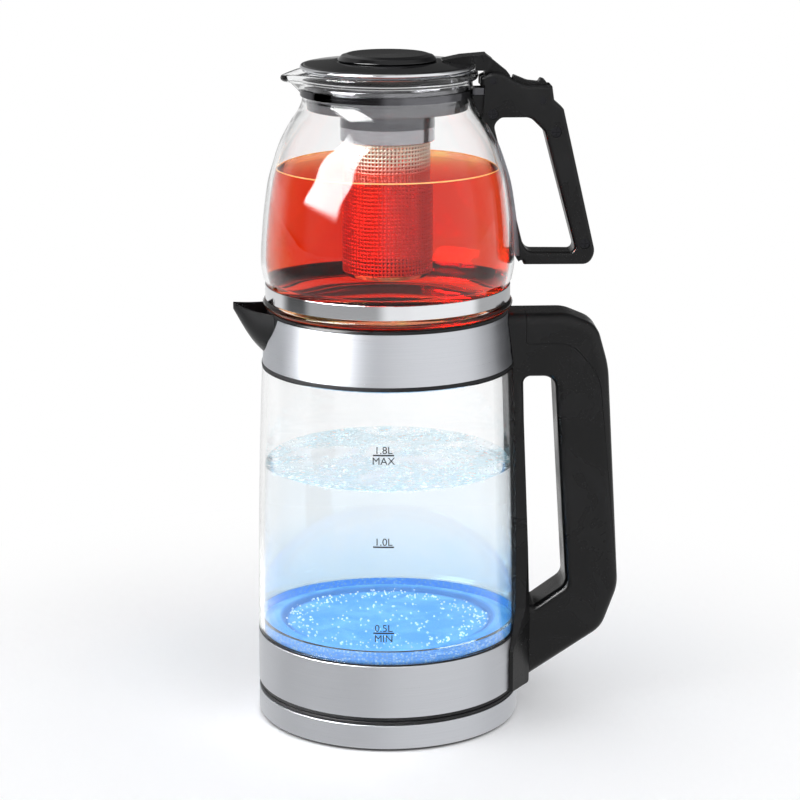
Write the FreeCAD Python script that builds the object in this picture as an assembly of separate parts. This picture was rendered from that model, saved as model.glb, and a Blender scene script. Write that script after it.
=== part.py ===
import FreeCAD, Part
import math
import os

# An automatic tea maker: a corded power base, a glass kettle that lifts off it,
# and a glass teapot that sits in the kettle's mouth and keeps warm over the steam.
# Millimetres. Origin: centre of the power base's underside plate. +Z is up,
# the handles point along +X and both spouts along -X.

V = FreeCAD.Vector

# Shared walls and clearances
SHEET = 0.8             # steel sheet of the bands and the collar
WALL = 2.0              # moulded plastic wall
SLIP = 0.1              # press-together clearance inside one assembly
SEAT = 0.3              # gap between pieces that lift apart
RUN = 0.05              # radial running clearance of the hinge pins

# Power base
BAND_R = 75.6           # outer radius of the base band and the kettle's lower band
RING_R = BAND_R - 0.4   # outer radius of the black ring between those bands
FOOT_DROP = 1.2         # how far the rubber feet stand below the underside
BASE_BAND_TOP = 14.4
DECK_T = 2.2            # thickness of the base's top deck
DECK_TOP = BASE_BAND_TOP + DECK_T
BASE_SCREW_PCD_R = BAND_R - 20.6
FOOT_PCD_R = BAND_R - 13.6
CONNECTOR_R = 15.5
CONNECTOR_TOP = DECK_TOP + 10.4
INLET_R = 3.6           # bore of the cable inlet
INLET_Z = BASE_BAND_TOP - 6.4

# Kettle, from its underside up
KETTLE_LOW = DECK_TOP + SEAT
RING_TOP = KETTLE_LOW + 2.1     # top of the black ring, bottom edge of the lower band
BAND_H = 30.5           # height of the lower band
LOWER_BAND_TOP = RING_TOP + BAND_H
GASKET_T = 1.0
JUG_H = 155.7           # height of the jug's glass
GLASS_LOW = LOWER_BAND_TOP + GASKET_T
GLASS_TOP = GLASS_LOW + JUG_H
GLASS_R_LOW = BAND_R - 0.2      # outer radius of the jug at its foot, middle and top
GLASS_R_MID = BAND_R - 1.3
GLASS_R_TOP = BAND_R - 3.9
GLASS_T = 3.0
UPPER_GASKET_T = 2.4
COLLAR_H = 28.6
COLLAR_TAPER = 3.2      # how much narrower the collar is at its top
COLLAR_LOW = GLASS_TOP + UPPER_GASKET_T
COLLAR_TOP = COLLAR_LOW + COLLAR_H
COLLAR_R_LOW = GLASS_R_TOP - 0.1
COLLAR_R_TOP = COLLAR_R_LOW - COLLAR_TAPER
RIM_TOP = COLLAR_TOP + 2.0
MOUTH_R = COLLAR_R_TOP - 2.2    # the mouth that the teapot's heel drops into
LEDGE_DEPTH = 3.2
LEDGE_Z = RIM_TOP - LEDGE_DEPTH  # the ledge that carries the teapot
LEDGE_R = MOUTH_R - 8.2
SPOUT_OUT = 16.2        # how far the spout stands out from the collar
SPOUT_REACH = COLLAR_R_LOW + SPOUT_OUT
SPOUT_TIP_Z = RIM_TOP + 3.2
SPOUT_HALF_W = 20.0
SPOUT_WALL = 1.8
PLATE_R = GLASS_R_LOW - 6.2     # heating plate
PLATE_Z = LOWER_BAND_TOP + 3.5
BEAD_R = PLATE_R - 8.2
BEAD_H = 2.4
ELEMENT_R = BEAD_R - 16.0
ELEMENT_TUBE_R = 3.4

# Kettle handle, in the plane of the handle: X outwards, Z up
HANDLE_HALF_W = 15.5
HANDLE_ROUND = 6.0
FINGER_ROOM_TOP = 18.6  # clear width of the opening at its top and its bottom
FINGER_ROOM_LOW = 21.0
GRIP_DEPTH = 30.8       # from the opening to the outer face of the grip
INSIDE_X = COLLAR_R_LOW - 11.6  # blanks start here, inside the round body
HANDLE_TOP = RIM_TOP - 2.8
HANDLE_FOOT_Z = KETTLE_LOW + 0.7
STRIP_X_TOP = BAND_R + 0.4      # outer face of the strip behind the jug
STRIP_X_LOW = BAND_R + 5.8
STRIP_HALF_TOP = 13.0
STRIP_HALF_LOW = 21.0
FINGER_X_TOP = STRIP_X_TOP + FINGER_ROOM_TOP    # inner face of the grip
FINGER_X_LOW = STRIP_X_LOW + FINGER_ROOM_LOW
FINGER_TOP_Z = HANDLE_TOP - 36.4
FINGER_LOW_Z = LOWER_BAND_TOP + 26.5
GRIP_X_TOP = FINGER_X_TOP + GRIP_DEPTH          # outer face of the grip
GRIP_X_LOW = FINGER_X_LOW + GRIP_DEPTH
GRIP_TOP_Z = HANDLE_TOP - 31.4
GRIP_LOW_Z = LOWER_BAND_TOP + 24.5
BRACKET_HALF = 33.0
BRACKET_TOP = LOWER_BAND_TOP - 7.5
COVER_GAP = 0.2
ROCKER_Z = GRIP_LOW_Z + 20.0
ROCKER_H = 20.0
ROCKER_HALF_W = 6.0
ROCKER_T = 5.0

# Teapot, from its heel up
POT_T = 2.6             # glass wall
POT_H = 136.7           # from the heel to the rim
HEEL_R = MOUTH_R - 0.6
HEEL_Z = LEDGE_Z + SEAT
BELLY_SWELL = 5.9       # how much wider the body is than the heel
BELLY_R = HEEL_R + BELLY_SWELL
POT_BAND_H = 8.4
BAND_GROOVE_LOW = HEEL_Z + 8.9
BAND_GROOVE_TOP = BAND_GROOVE_LOW + POT_BAND_H
POT_BAND_R = HEEL_R + 3.8
SHOULDER_LOW = BAND_GROOVE_TOP + 3.0
NECK_R = 47.6
NECK_BORE_R = NECK_R - 2.2
POT_RIM_R = NECK_R + 2.8
POT_RIM_TOP = HEEL_Z + POT_H
POT_RIM_LOW = POT_RIM_TOP - 4.4
NECK_LOW = POT_RIM_TOP - 16.0
STRAP_LOW = POT_RIM_TOP - 13.4
STRAP_TOP = STRAP_LOW + 3.8

# Teapot handle, in its own plane
CHEEK_T = 9.0           # thickness of each of the two halves
SLOT_HALF = 4.0         # half of the slot that holds the lid arm and the lever
ARM_HALF = 3.7
PIN_R = 2.0
LEG_FOOT_Z = SHOULDER_LOW + 7.2         # underside of the handle
LID_PIN = (NECK_R + 10.6, POT_RIM_TOP - 5.2)
LEVER_PIN = (NECK_R + 38.6, POT_RIM_TOP - 16.4)
HUB_R = 5.4

# Lid and infuser
LID_R = NECK_R + 1.4
LID_LOW = POT_RIM_TOP + SEAT
LID_TOP = LID_LOW + 3.3
DOME_TOP = LID_TOP + 1.8
KNOB_R = 28.0
KNOB_TOP_R = KNOB_R - 2.4
KNOB_TOP = DOME_TOP + 4.0
DOME_R = KNOB_R + 2.0   # where the dome's flat middle ends
SKIRT_R = NECK_BORE_R - 0.4
SKIRT_TOP = POT_RIM_TOP - 7.0
SKIRT_LOW = SKIRT_TOP - 14.4
BASKET_R = 24.0
BASKET_LOW = HEEL_Z + 21.7
CUP_R = BASKET_R + 2.4
CUP_LOW = SKIRT_LOW - 17.6


# Shape helpers

def rounded_wire(corners, plane="XZ"):
    """A closed outline of straight runs; each corner is (a, b, radius of its arc)."""
    def place(a, b):
        return V(a, 0, b) if plane == "XZ" else V(a, b, 0)

    count = len(corners)
    stations = []
    for i, (a, b, radius) in enumerate(corners):
        here = place(a, b)
        if radius <= 0:
            stations.append((here, None, here))
            continue
        before = place(*corners[i - 1][:2]) - here
        after = place(*corners[(i + 1) % count][:2]) - here
        half = before.getAngle(after) / 2
        reach = min(radius / math.tan(half), 0.49 * before.Length, 0.49 * after.Length)
        before.normalize()
        after.normalize()
        middle = before + after
        middle.normalize()
        true_radius = reach * math.tan(half)
        centre_distance = reach / math.cos(half)
        stations.append((here + before * reach,
                         here + middle * (centre_distance - true_radius),
                         here + after * reach))
    edges = []
    for i, (start, mid, end) in enumerate(stations):
        if mid is not None:
            edges.append(Part.Arc(start, mid, end).toShape())
        following = stations[(i + 1) % count][0]
        if end.distanceToPoint(following) > 1e-6:
            edges.append(Part.LineSegment(end, following).toShape())
    return Part.Wire(edges)


def revolve(corners):
    """A solid of revolution about Z from an outline of (radius, z, corner radius)."""
    corners = [c if len(c) == 3 else (c[0], c[1], 0) for c in corners]
    face = Part.Face(rounded_wire(corners))
    return face.revolve(V(0, 0, 0), V(0, 0, 1), 360)


def plate(corners, y_low, y_high):
    """An outline in the X-Z plane, given thickness along Y."""
    corners = [c if len(c) == 3 else (c[0], c[1], 0) for c in corners]
    face = Part.Face(rounded_wire(corners))
    face.translate(V(0, y_low, 0))
    return face.extrude(V(0, y_high - y_low, 0))


def column(corners, z_low, z_high):
    """An outline in the X-Y plane, given height along Z."""
    corners = [c if len(c) == 3 else (c[0], c[1], 0) for c in corners]
    face = Part.Face(rounded_wire(corners, "XY"))
    face.translate(V(0, 0, z_low))
    return face.extrude(V(0, 0, z_high - z_low))


def ring(r_in, r_out, z_low, z_high):
    outer = Part.makeCylinder(r_out, z_high - z_low, V(0, 0, z_low))
    if r_in <= 0:
        return outer
    return outer.cut(Part.makeCylinder(r_in, z_high - z_low + 2, V(0, 0, z_low - 1)))


def block(x0, x1, y0, y1, z0, z1):
    return Part.makeBox(x1 - x0, y1 - y0, z1 - z0, V(x0, y0, z0))


def rod(start, end, radius):
    run = V(*end) - V(*start)
    return Part.makeCylinder(radius, run.Length, V(*start), run)


def around(shape, count, first_deg=0.0):
    """Copies of a shape, evenly spaced about the Z axis."""
    copies = []
    for i in range(count):
        turned = shape.copy()
        turned.rotate(V(0, 0, 0), V(0, 0, 1), first_deg + 360.0 * i / count)
        copies.append(turned)
    return copies


def round_edges(shape, radius, wanted):
    """Round the edges that wanted(edge) picks."""
    return shape.makeFillet(radius, [edge for edge in shape.Edges if wanted(edge)])


def save(name, shape):
    """Write one node; a list of solids becomes a group in one file."""
    if isinstance(shape, (list, tuple)):
        shape = Part.Compound(list(shape))
    elif len(shape.Solids) == 1:
        shape = shape.Solids[0]
    shape.exportStep("parts/" + name + ".step")


# Radii that follow from the driving dimensions

def along(z, z0, value0, z1, value1):
    return value0 + (value1 - value0) * (z - z0) / (z1 - z0)


BAND_BORE = BAND_R - SHEET
SHELL_R = BAND_BORE - SLIP


def collar_radius(z):
    return along(z, COLLAR_LOW, COLLAR_R_LOW, COLLAR_TOP, COLLAR_R_TOP)


def jug_solid(inset=0.0, extra=0.0):
    """The jug's barrel shape, filled: a shallow arc from foot to top, turned about Z."""
    middle_z = (GLASS_LOW + GLASS_TOP) / 2
    low = V(GLASS_R_LOW - inset, 0, GLASS_LOW - extra)
    middle = V(GLASS_R_MID - inset, 0, middle_z)
    top = V(GLASS_R_TOP - inset, 0, GLASS_TOP + extra)
    edges = [Part.LineSegment(V(0, 0, low.z), low).toShape(),
             Part.Arc(low, middle, top).toShape(),
             Part.LineSegment(top, V(0, 0, top.z)).toShape(),
             Part.LineSegment(V(0, 0, top.z), V(0, 0, low.z)).toShape()]
    return Part.Face(Part.Wire(edges)).revolve(V(0, 0, 0), V(0, 0, 1), 360)


# Power base

BASE_BOSS_R = 5.0
BASE_BOSS_TOP = 6.0
SCREW_HEAD_R = 3.0
SCREW_R = 1.45
INLET_SLEEVE_R = 4.8
INLET_FLANGE_R = 5.8
base_screw_at = V(BASE_SCREW_PCD_R, 0, 0)


def make_base_housing():
    tray = ring(0, SHELL_R, 0, WALL).fuse(ring(SHELL_R - WALL, SHELL_R, WALL, BASE_BAND_TOP - SLIP))
    boss = Part.makeCylinder(BASE_BOSS_R, BASE_BOSS_TOP, base_screw_at)
    tray = tray.multiFuse(around(boss, 4, 45))
    head_well = Part.makeCylinder(SCREW_HEAD_R + SEAT, BASE_BOSS_TOP - WALL, base_screw_at)
    shank_hole = Part.makeCylinder(SCREW_R + SEAT, BASE_BOSS_TOP + 1, base_screw_at)
    foot_well = Part.makeCylinder(7.0, WALL / 2, V(FOOT_PCD_R, 0, 0))
    for cutter in around(head_well.fuse(shank_hole), 4, 45) + around(foot_well, 4, 0):
        tray = tray.cut(cutter)
    inlet = rod((0, SHELL_R - 8, INLET_Z), (0, BAND_R + 5, INLET_Z), INLET_SLEEVE_R + SLIP)
    return tray.cut(inlet)


def make_base_band():
    band = revolve([(BAND_BORE, 0.4), (BAND_R - 0.6, 0.4, 0.5), (BAND_R, 1.0, 0.5),
                    (BAND_R, BASE_BAND_TOP, 0.3), (BAND_BORE, BASE_BAND_TOP)])
    inlet = rod((0, SHELL_R - 8, INLET_Z), (0, BAND_R + 5, INLET_Z), INLET_SLEEVE_R + SLIP)
    return band.cut(inlet)


def make_base_deck():
    deck = revolve([(CONNECTOR_R + SLIP, BASE_BAND_TOP), (RING_R, BASE_BAND_TOP, 0.4),
                    (RING_R, DECK_TOP, 0.6), (CONNECTOR_R + SLIP, DECK_TOP, 0.4)])
    rib_r = SHELL_R - WALL - SEAT - INLET_FLANGE_R
    deck = deck.fuse(ring(rib_r - 1.5, rib_r, BASE_BAND_TOP - 2.0, BASE_BAND_TOP))
    post = Part.makeCylinder(4.0, BASE_BAND_TOP - BASE_BOSS_TOP - SLIP,
                             V(BASE_SCREW_PCD_R, 0, BASE_BOSS_TOP + SLIP))
    pilot = Part.makeCylinder(SCREW_R + RUN, 8.0, V(BASE_SCREW_PCD_R, 0, BASE_BOSS_TOP))
    deck = deck.multiFuse(around(post, 4, 45))
    for hole in around(pilot, 4, 45):
        deck = deck.cut(hole)
    return deck


def make_base_screws():
    head = Part.makeCylinder(SCREW_HEAD_R, 2.0, V(BASE_SCREW_PCD_R, 0, 2.0))
    drive = block(BASE_SCREW_PCD_R - 2, BASE_SCREW_PCD_R + 2, -0.4, 0.4, 2.0, 2.8)
    cross = block(BASE_SCREW_PCD_R - 0.4, BASE_SCREW_PCD_R + 0.4, -2, 2, 2.0, 2.8)
    shank = Part.makeCylinder(SCREW_R, 8.0, V(BASE_SCREW_PCD_R, 0, 4.0))
    return around(head.cut(drive).cut(cross).fuse(shank), 4, 45)


def make_base_feet():
    foot = Part.makeCylinder(6.8, FOOT_DROP + WALL / 2, V(FOOT_PCD_R, 0, -FOOT_DROP))
    foot = round_edges(foot, 0.5, lambda e: e.BoundBox.ZMax < -FOOT_DROP + 0.01)
    return around(foot, 4, 0)


def make_base_connector():
    """The round connector that the kettle's socket drops over at any angle."""
    body = revolve([(0, WALL), (24.0, WALL, 0.5), (24.0, WALL + 2.2, 0.5),
                    (CONNECTOR_R, WALL + 2.2), (CONNECTOR_R, CONNECTOR_TOP, 1.0),
                    (CONNECTOR_R - 2.5, CONNECTOR_TOP, 0.4), (CONNECTOR_R - 2.5, WALL + 2.2),
                    (0, WALL + 2.2)])
    return body


def make_base_contacts():
    floor = WALL + 2.2
    return [Part.makeCylinder(2.0, CONNECTOR_TOP - floor + 1.0, V(0, 0, floor)),
            ring(6.5, 7.3, floor, CONNECTOR_TOP - 4.0),
            ring(9.5, 10.3, floor, CONNECTOR_TOP - 2.0)]


def make_cable_inlet():
    outer_end = BAND_R + 1.2
    inner_end = SHELL_R - WALL - SLIP - 1.8
    sleeve = rod((0, inner_end, INLET_Z), (0, outer_end, INLET_Z), INLET_SLEEVE_R)
    flange = rod((0, inner_end, INLET_Z), (0, inner_end + 1.6, INLET_Z), INLET_FLANGE_R)
    inside = ring(0, SHELL_R - WALL - SLIP, 0, BASE_BAND_TOP)
    bore = rod((0, inner_end - 1, INLET_Z), (0, outer_end + 1, INLET_Z), INLET_R)
    return sleeve.fuse(flange.common(inside)).cut(bore)


# Kettle foot: shell, band, heater and controller

SOCKET_R = CONNECTOR_R + 0.8
SOCKET_ROOF = CONNECTOR_TOP + 3.0
CARRIER_LOW = LOWER_BAND_TOP - 3.0
CONTROL_R = 26.0
PLATE_T = 0.8
SPREADER_T = 2.4
LIGHT_RING_TOP = 57.0


def make_kettle_base_shell():
    floor_top = KETTLE_LOW + WALL
    shell = revolve([(SOCKET_R, KETTLE_LOW, 0.4), (RING_R, KETTLE_LOW, 0.6), (RING_R, RING_TOP, 0.3),
                     (SHELL_R, RING_TOP), (SHELL_R, CARRIER_LOW), (SHELL_R - WALL, CARRIER_LOW),
                     (SHELL_R - WALL, floor_top), (SOCKET_R, floor_top, 0.4)])
    vent = block(CONTROL_R + 14, BAND_R - 17.6, -0.9, 0.9, KETTLE_LOW - 1, floor_top + 1)
    for slot in around(vent, 12, 15):
        shell = shell.cut(slot)
    return shell


def make_kettle_lower_band():
    return revolve([(BAND_BORE, RING_TOP), (BAND_R, RING_TOP, 0.4), (BAND_R, LOWER_BAND_TOP, 0.5),
                    (BAND_BORE, LOWER_BAND_TOP)])


def make_plate_carrier():
    """Black ring on top of the shell that carries the glass, its seal and the plate."""
    lip_r = BEAD_R - 6.0
    return revolve([(lip_r, CARRIER_LOW), (SHELL_R, CARRIER_LOW), (SHELL_R, LOWER_BAND_TOP),
                    (PLATE_R + 0.4, LOWER_BAND_TOP), (PLATE_R + 0.4, CARRIER_LOW + 1.2),
                    (lip_r, CARRIER_LOW + 1.2)])


def make_lower_gasket():
    return ring(PLATE_R + 0.4, GLASS_R_LOW, LOWER_BAND_TOP, GLASS_LOW)


def make_light_ring():
    """Clear ring at the jug's foot that spreads the blue light."""
    r_out = GLASS_R_LOW - GLASS_T - 0.3
    return revolve([(PLATE_R + 0.5, GLASS_LOW), (r_out, GLASS_LOW), (r_out, LIGHT_RING_TOP, 0.8),
                    (PLATE_R + 0.5, LIGHT_RING_TOP, 0.8)])


def make_heating_plate():
    """Stainless dish with a turned-down edge, a raised bead and a flat middle."""
    low = PLATE_Z - PLATE_T
    bead_half = 3.0
    top = [(0, PLATE_Z), (BEAD_R - bead_half - 1.5, PLATE_Z, 1.5), (BEAD_R - 1.5, PLATE_Z + BEAD_H, 1.4),
           (BEAD_R + 1.5, PLATE_Z + BEAD_H, 1.4), (BEAD_R + bead_half + 1.5, PLATE_Z, 1.5),
           (PLATE_R, PLATE_Z, 1.2), (PLATE_R, LOWER_BAND_TOP - 1.0)]
    under = [(PLATE_R - PLATE_T, LOWER_BAND_TOP - 1.0), (PLATE_R - PLATE_T, low, 0.6),
             (BEAD_R + bead_half + 1.0, low, 1.5), (BEAD_R + 1.0, low + BEAD_H, 1.0),
             (BEAD_R - 1.0, low + BEAD_H, 1.0), (BEAD_R - bead_half - 1.0, low, 1.5), (0, low)]
    return revolve(top + under)


def make_heat_spreader():
    top = PLATE_Z - PLATE_T - 0.05
    return ring(14.0, BEAD_R - 7.0, top - SPREADER_T, top)


def make_heating_element():
    """Sheathed element under the spreader: most of a turn, with two cold ends."""
    centre_z = PLATE_Z - PLATE_T - SPREADER_T - 0.1 - ELEMENT_TUBE_R
    torus = Part.makeTorus(ELEMENT_R, ELEMENT_TUBE_R, V(0, 0, centre_z))
    opening = block(0, ELEMENT_R + 10, -9, 9, centre_z - 5, centre_z + 5)
    loop = torus.cut(opening)
    ends = []
    for side in (-1, 1):
        y = side * 12.0
        x = math.sqrt(ELEMENT_R ** 2 - 12.0 ** 2)
        ends.append(Part.makeCylinder(1.6, 10.0, V(x, y, centre_z - 12.0)))
    return loop.multiFuse(ends)


def make_control_unit():
    """Thermostat and socket block; its round socket drops over the base connector."""
    floor_top = KETTLE_LOW + WALL
    body = ring(SOCKET_R, CONTROL_R, floor_top + 0.05, SOCKET_ROOF)
    roof = ring(0, CONTROL_R, SOCKET_ROOF, SOCKET_ROOF + 4.0)
    arm = block(CONTROL_R - 4, CONTROL_R + 12, -9, 9, floor_top + 0.05, floor_top + 9)
    body = body.fuse(roof).fuse(arm)
    # the roof's post reaches the heat spreader, so the thermostat feels the plate
    post = ring(0, 12.0, SOCKET_ROOF + 4.0, PLATE_Z - PLATE_T - 0.1)
    return body.fuse(post)


def make_socket_contacts():
    roof = SOCKET_ROOF - 0.05
    return [ring(2.3, 3.0, roof - 5.0, roof),
            block(7.9, 8.7, -2, 2, roof - 12.0, roof),
            block(-11.6, -10.8, -2, 2, roof - 10.0, roof)]


def make_led_ring():
    top = CARRIER_LOW - 0.05
    board = ring(PLATE_R - 9.2, PLATE_R - 1.2, top - 1.6, top)
    lamp = Part.makeCylinder(1.8, 1.4, V(PLATE_R - 5.2, 0, top - 3.0))
    return board.multiFuse(around(lamp, 12, 15))


# Kettle jug, collar and rim

def make_glass_jug():
    bore = jug_solid(GLASS_T, 1.0)
    return jug_solid().cut(bore)


def make_upper_gasket():
    top_r = GLASS_R_TOP - GLASS_T
    return revolve([(top_r, GLASS_TOP), (GLASS_R_TOP + 0.2, GLASS_TOP, 0.5),
                    (GLASS_R_TOP + 0.2, COLLAR_LOW, 0.5), (top_r, COLLAR_LOW)])


def spout_shape(root_x, root_half, root_low, root_top, tip_x, tip_half, tip_low, tip_top, bulge):
    """A beak along -X: a deep U at the root tapers to a small U at the tip."""
    def section(x, half, low, top):
        side_z = low + (top - low) * 0.42
        left = V(-x, -half, top)
        right = V(-x, half, top)
        keel = V(-x, 0, low)
        left_mid = V(-x, -half * bulge, side_z)
        right_mid = V(-x, half * bulge, side_z)
        return Part.Wire([Part.Arc(left, left_mid, keel).toShape(),
                          Part.Arc(keel, right_mid, right).toShape(),
                          Part.LineSegment(right, left).toShape()])

    root = section(root_x, root_half, root_low, root_top)
    tip = section(tip_x, tip_half, tip_low, tip_top)
    return Part.makeLoft([root, tip], True, True)


SPOUT_ROOT_X = INSIDE_X
SPOUT_ROOT_LOW = RIM_TOP - 35.2
SPOUT_BULGE = 0.80
POUR_HALF_W = 13.0
POUR_LOW = COLLAR_LOW + 10.0
POUR_TOP = LEDGE_Z - 3.5


def kettle_spout(inset=0.0):
    """The kettle's beak, or the space inside it when inset is its wall."""
    return spout_shape(SPOUT_ROOT_X, SPOUT_HALF_W * 1.5 - inset * 1.3, SPOUT_ROOT_LOW + inset * 1.6,
                       RIM_TOP + inset, SPOUT_REACH - inset * 1.4, 3.2 - inset * 0.9,
                       SPOUT_TIP_Z - 3.4 + inset * 0.9, SPOUT_TIP_Z + inset, SPOUT_BULGE)


def make_steel_collar():
    collar = revolve([(COLLAR_R_LOW - SHEET, COLLAR_LOW), (COLLAR_R_LOW, COLLAR_LOW),
                      (COLLAR_R_TOP, COLLAR_TOP), (COLLAR_R_TOP - SHEET, COLLAR_TOP)])
    return collar.cut(kettle_spout())


def make_rim_and_spout():
    """Two black mouldings: the mouth with the teapot's ledge and the collar's lining, and the spout."""
    lining_low = collar_radius(COLLAR_LOW) - SHEET - SLIP
    lining_top = collar_radius(COLLAR_TOP) - SHEET - SLIP
    ring_part = revolve([(lining_low - WALL, COLLAR_LOW + 0.05), (lining_low, COLLAR_LOW + 0.05),
                         (lining_top, COLLAR_TOP), (COLLAR_R_TOP, COLLAR_TOP, 0.3),
                         (COLLAR_R_TOP - 0.5, RIM_TOP, 0.6), (MOUTH_R, RIM_TOP, 0.5),
                         (MOUTH_R, LEDGE_Z, 0.4), (LEDGE_R, LEDGE_Z, 0.6),
                         (LEDGE_R, LEDGE_Z - 2.2, 0.6), (lining_top - WALL, LEDGE_Z - 2.2, 0.8)])
    outside = ring(0, BAND_R + 40, SPOUT_ROOT_LOW - 20, SPOUT_TIP_Z + 20)
    keep_out = revolve([(0, COLLAR_LOW - 20), (COLLAR_R_LOW - SHEET - SLIP, COLLAR_LOW - 20),
                        (COLLAR_R_LOW - SHEET - SLIP, COLLAR_LOW), (lining_top, COLLAR_TOP),
                        (lining_top, SPOUT_TIP_Z + 20), (0, SPOUT_TIP_Z + 20)])
    beak = kettle_spout().common(outside).cut(keep_out).cut(ring_part)
    channel = kettle_spout(SPOUT_WALL)
    pour_hole = block(-COLLAR_R_LOW - 4, -LEDGE_R - 1, -POUR_HALF_W, POUR_HALF_W, POUR_LOW, POUR_TOP)
    ring_part = ring_part.cut(pour_hole)
    return ring_part, beak.cut(channel)


def make_spout_filter():
    """Fine mesh in a frame that closes the pour hole behind the spout."""
    x = -(collar_radius(COLLAR_LOW + 16) - SHEET - SLIP - WALL - 0.1)
    half = POUR_HALF_W - SLIP
    low = POUR_LOW + SLIP
    top = POUR_TOP - SLIP
    edge = 1.5
    frame = block(x, x + 1.4, -half, half, low, top)
    frame = frame.cut(block(x - 1, x + 3, -half + edge, half - edge, low + edge, top - edge))
    pitch = 2.0
    wires = []
    for i in range(int((2 * half - 2 * edge) / pitch)):
        y = -half + edge + pitch * (i + 0.75)
        wires.append(block(x + 0.5, x + 0.9, y - 0.25, y + 0.25, low + 0.5, top - 0.5))
    for i in range(int((top - low - 2 * edge) / pitch)):
        z = low + edge + pitch * (i + 0.75)
        wires.append(block(x + 0.5, x + 0.9, -half + 0.5, half - 0.5, z - 0.25, z + 0.25))
    return frame.multiFuse(wires)


# Kettle handle

def collar_and_jug_envelope(gap):
    """Everything round that the handle must hug, filled and grown by a gap."""
    body = revolve([(0, GLASS_LOW - 60), (BAND_R + gap, GLASS_LOW - 60), (BAND_R + gap, GLASS_LOW),
                    (0, GLASS_LOW)])
    jug = jug_solid(-gap, 0.5)
    top = revolve([(0, GLASS_TOP - 0.5), (COLLAR_R_LOW + gap + 0.3, GLASS_TOP - 0.5),
                   (COLLAR_R_LOW + gap + 0.3, COLLAR_LOW), (COLLAR_R_TOP + gap, COLLAR_TOP),
                   (COLLAR_R_TOP + gap, RIM_TOP + 20), (0, RIM_TOP + 20)])
    return body.fuse(jug).fuse(top)


def handle_outline():
    """Outer outline of the handle seen from the side."""
    return [(INSIDE_X, HANDLE_TOP, 0), (FINGER_X_TOP + 6.4, HANDLE_TOP, 20),
            (GRIP_X_TOP - 6.8, HANDLE_TOP - 7.4, 14), (GRIP_X_TOP, GRIP_TOP_Z, 60),
            (GRIP_X_LOW, GRIP_LOW_Z, 26), (GRIP_X_LOW - 9.2, GRIP_LOW_Z - 25.4, 18),
            (STRIP_X_LOW, HANDLE_FOOT_Z + 2.8, 2), (INSIDE_X, HANDLE_FOOT_Z + 2.8, 0)]


def finger_outline():
    """The opening for the fingers."""
    return [(STRIP_X_TOP + 0.6, FINGER_TOP_Z, 4), (FINGER_X_TOP, FINGER_TOP_Z, 7),
            (FINGER_X_LOW, FINGER_LOW_Z, 7), (STRIP_X_LOW - 0.9, FINGER_LOW_Z - 15.6, 3)]


def cover_outline():
    """The part of the handle that the separate outer cover forms."""
    beyond_x = GRIP_X_LOW + 16.8
    low_z = GRIP_LOW_Z + 6.0
    seam_z = HANDLE_TOP - 16.8
    return [(STRIP_X_TOP + 2.0, HANDLE_TOP + 10, 0), (beyond_x, HANDLE_TOP + 10, 0), (beyond_x, low_z, 0),
            (GRIP_X_LOW - 0.8, low_z, 0), (GRIP_X_TOP - 5.1, FINGER_TOP_Z + 0.2, 30),
            (FINGER_X_TOP + 9.4, seam_z, 16), (STRIP_X_TOP + 2.0, seam_z, 1.5)]


def handle_blank():
    blank = plate(handle_outline(), -HANDLE_HALF_W, HANDLE_HALF_W)

    def on_flank(edge):
        box = edge.BoundBox
        flat = box.YLength < 1e-3
        return flat and abs(abs(box.YMin) - HANDLE_HALF_W) < 1e-3 and box.XMax > STRIP_X_LOW

    blank = round_edges(blank, HANDLE_ROUND, on_flank)
    finger = plate(finger_outline(), -HANDLE_HALF_W - 5, HANDLE_HALF_W + 5)
    blank = blank.cut(finger)

    def on_finger(edge):
        box = edge.BoundBox
        inside_x = STRIP_X_TOP < box.XMin and box.XMax < FINGER_X_LOW + 1
        inside_z = FINGER_LOW_Z - 17 < box.ZMin and box.ZMax < FINGER_TOP_Z + 1
        return box.YLength < 1e-3 and inside_x and inside_z

    return round_edges(blank, HANDLE_ROUND * 0.7, on_finger)


def rocker_pocket(gap):
    """The recess in the grip's outer face that the rocker switch sits in."""
    face_x = along(ROCKER_Z, GRIP_TOP_Z, GRIP_X_TOP, GRIP_LOW_Z, GRIP_X_LOW)
    return block(face_x - ROCKER_T - 5.0, face_x + 12, -ROCKER_HALF_W - gap, ROCKER_HALF_W + gap,
                 ROCKER_Z - ROCKER_H / 2 - gap, ROCKER_Z + ROCKER_H / 2 + gap)


ROCKER_X = along(ROCKER_Z, GRIP_TOP_Z, GRIP_X_TOP, GRIP_LOW_Z, GRIP_X_LOW) - ROCKER_T + 1.2
ROCKER_PIN_R = 1.6
HANDLE_SCREWS = [(STRIP_X_TOP + 8.0, HANDLE_TOP - 26.4), (FINGER_X_TOP + 19.4, FINGER_TOP_Z - 10.0),
                 (FINGER_X_LOW + 15.6, FINGER_LOW_Z - 10.0)]


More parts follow.
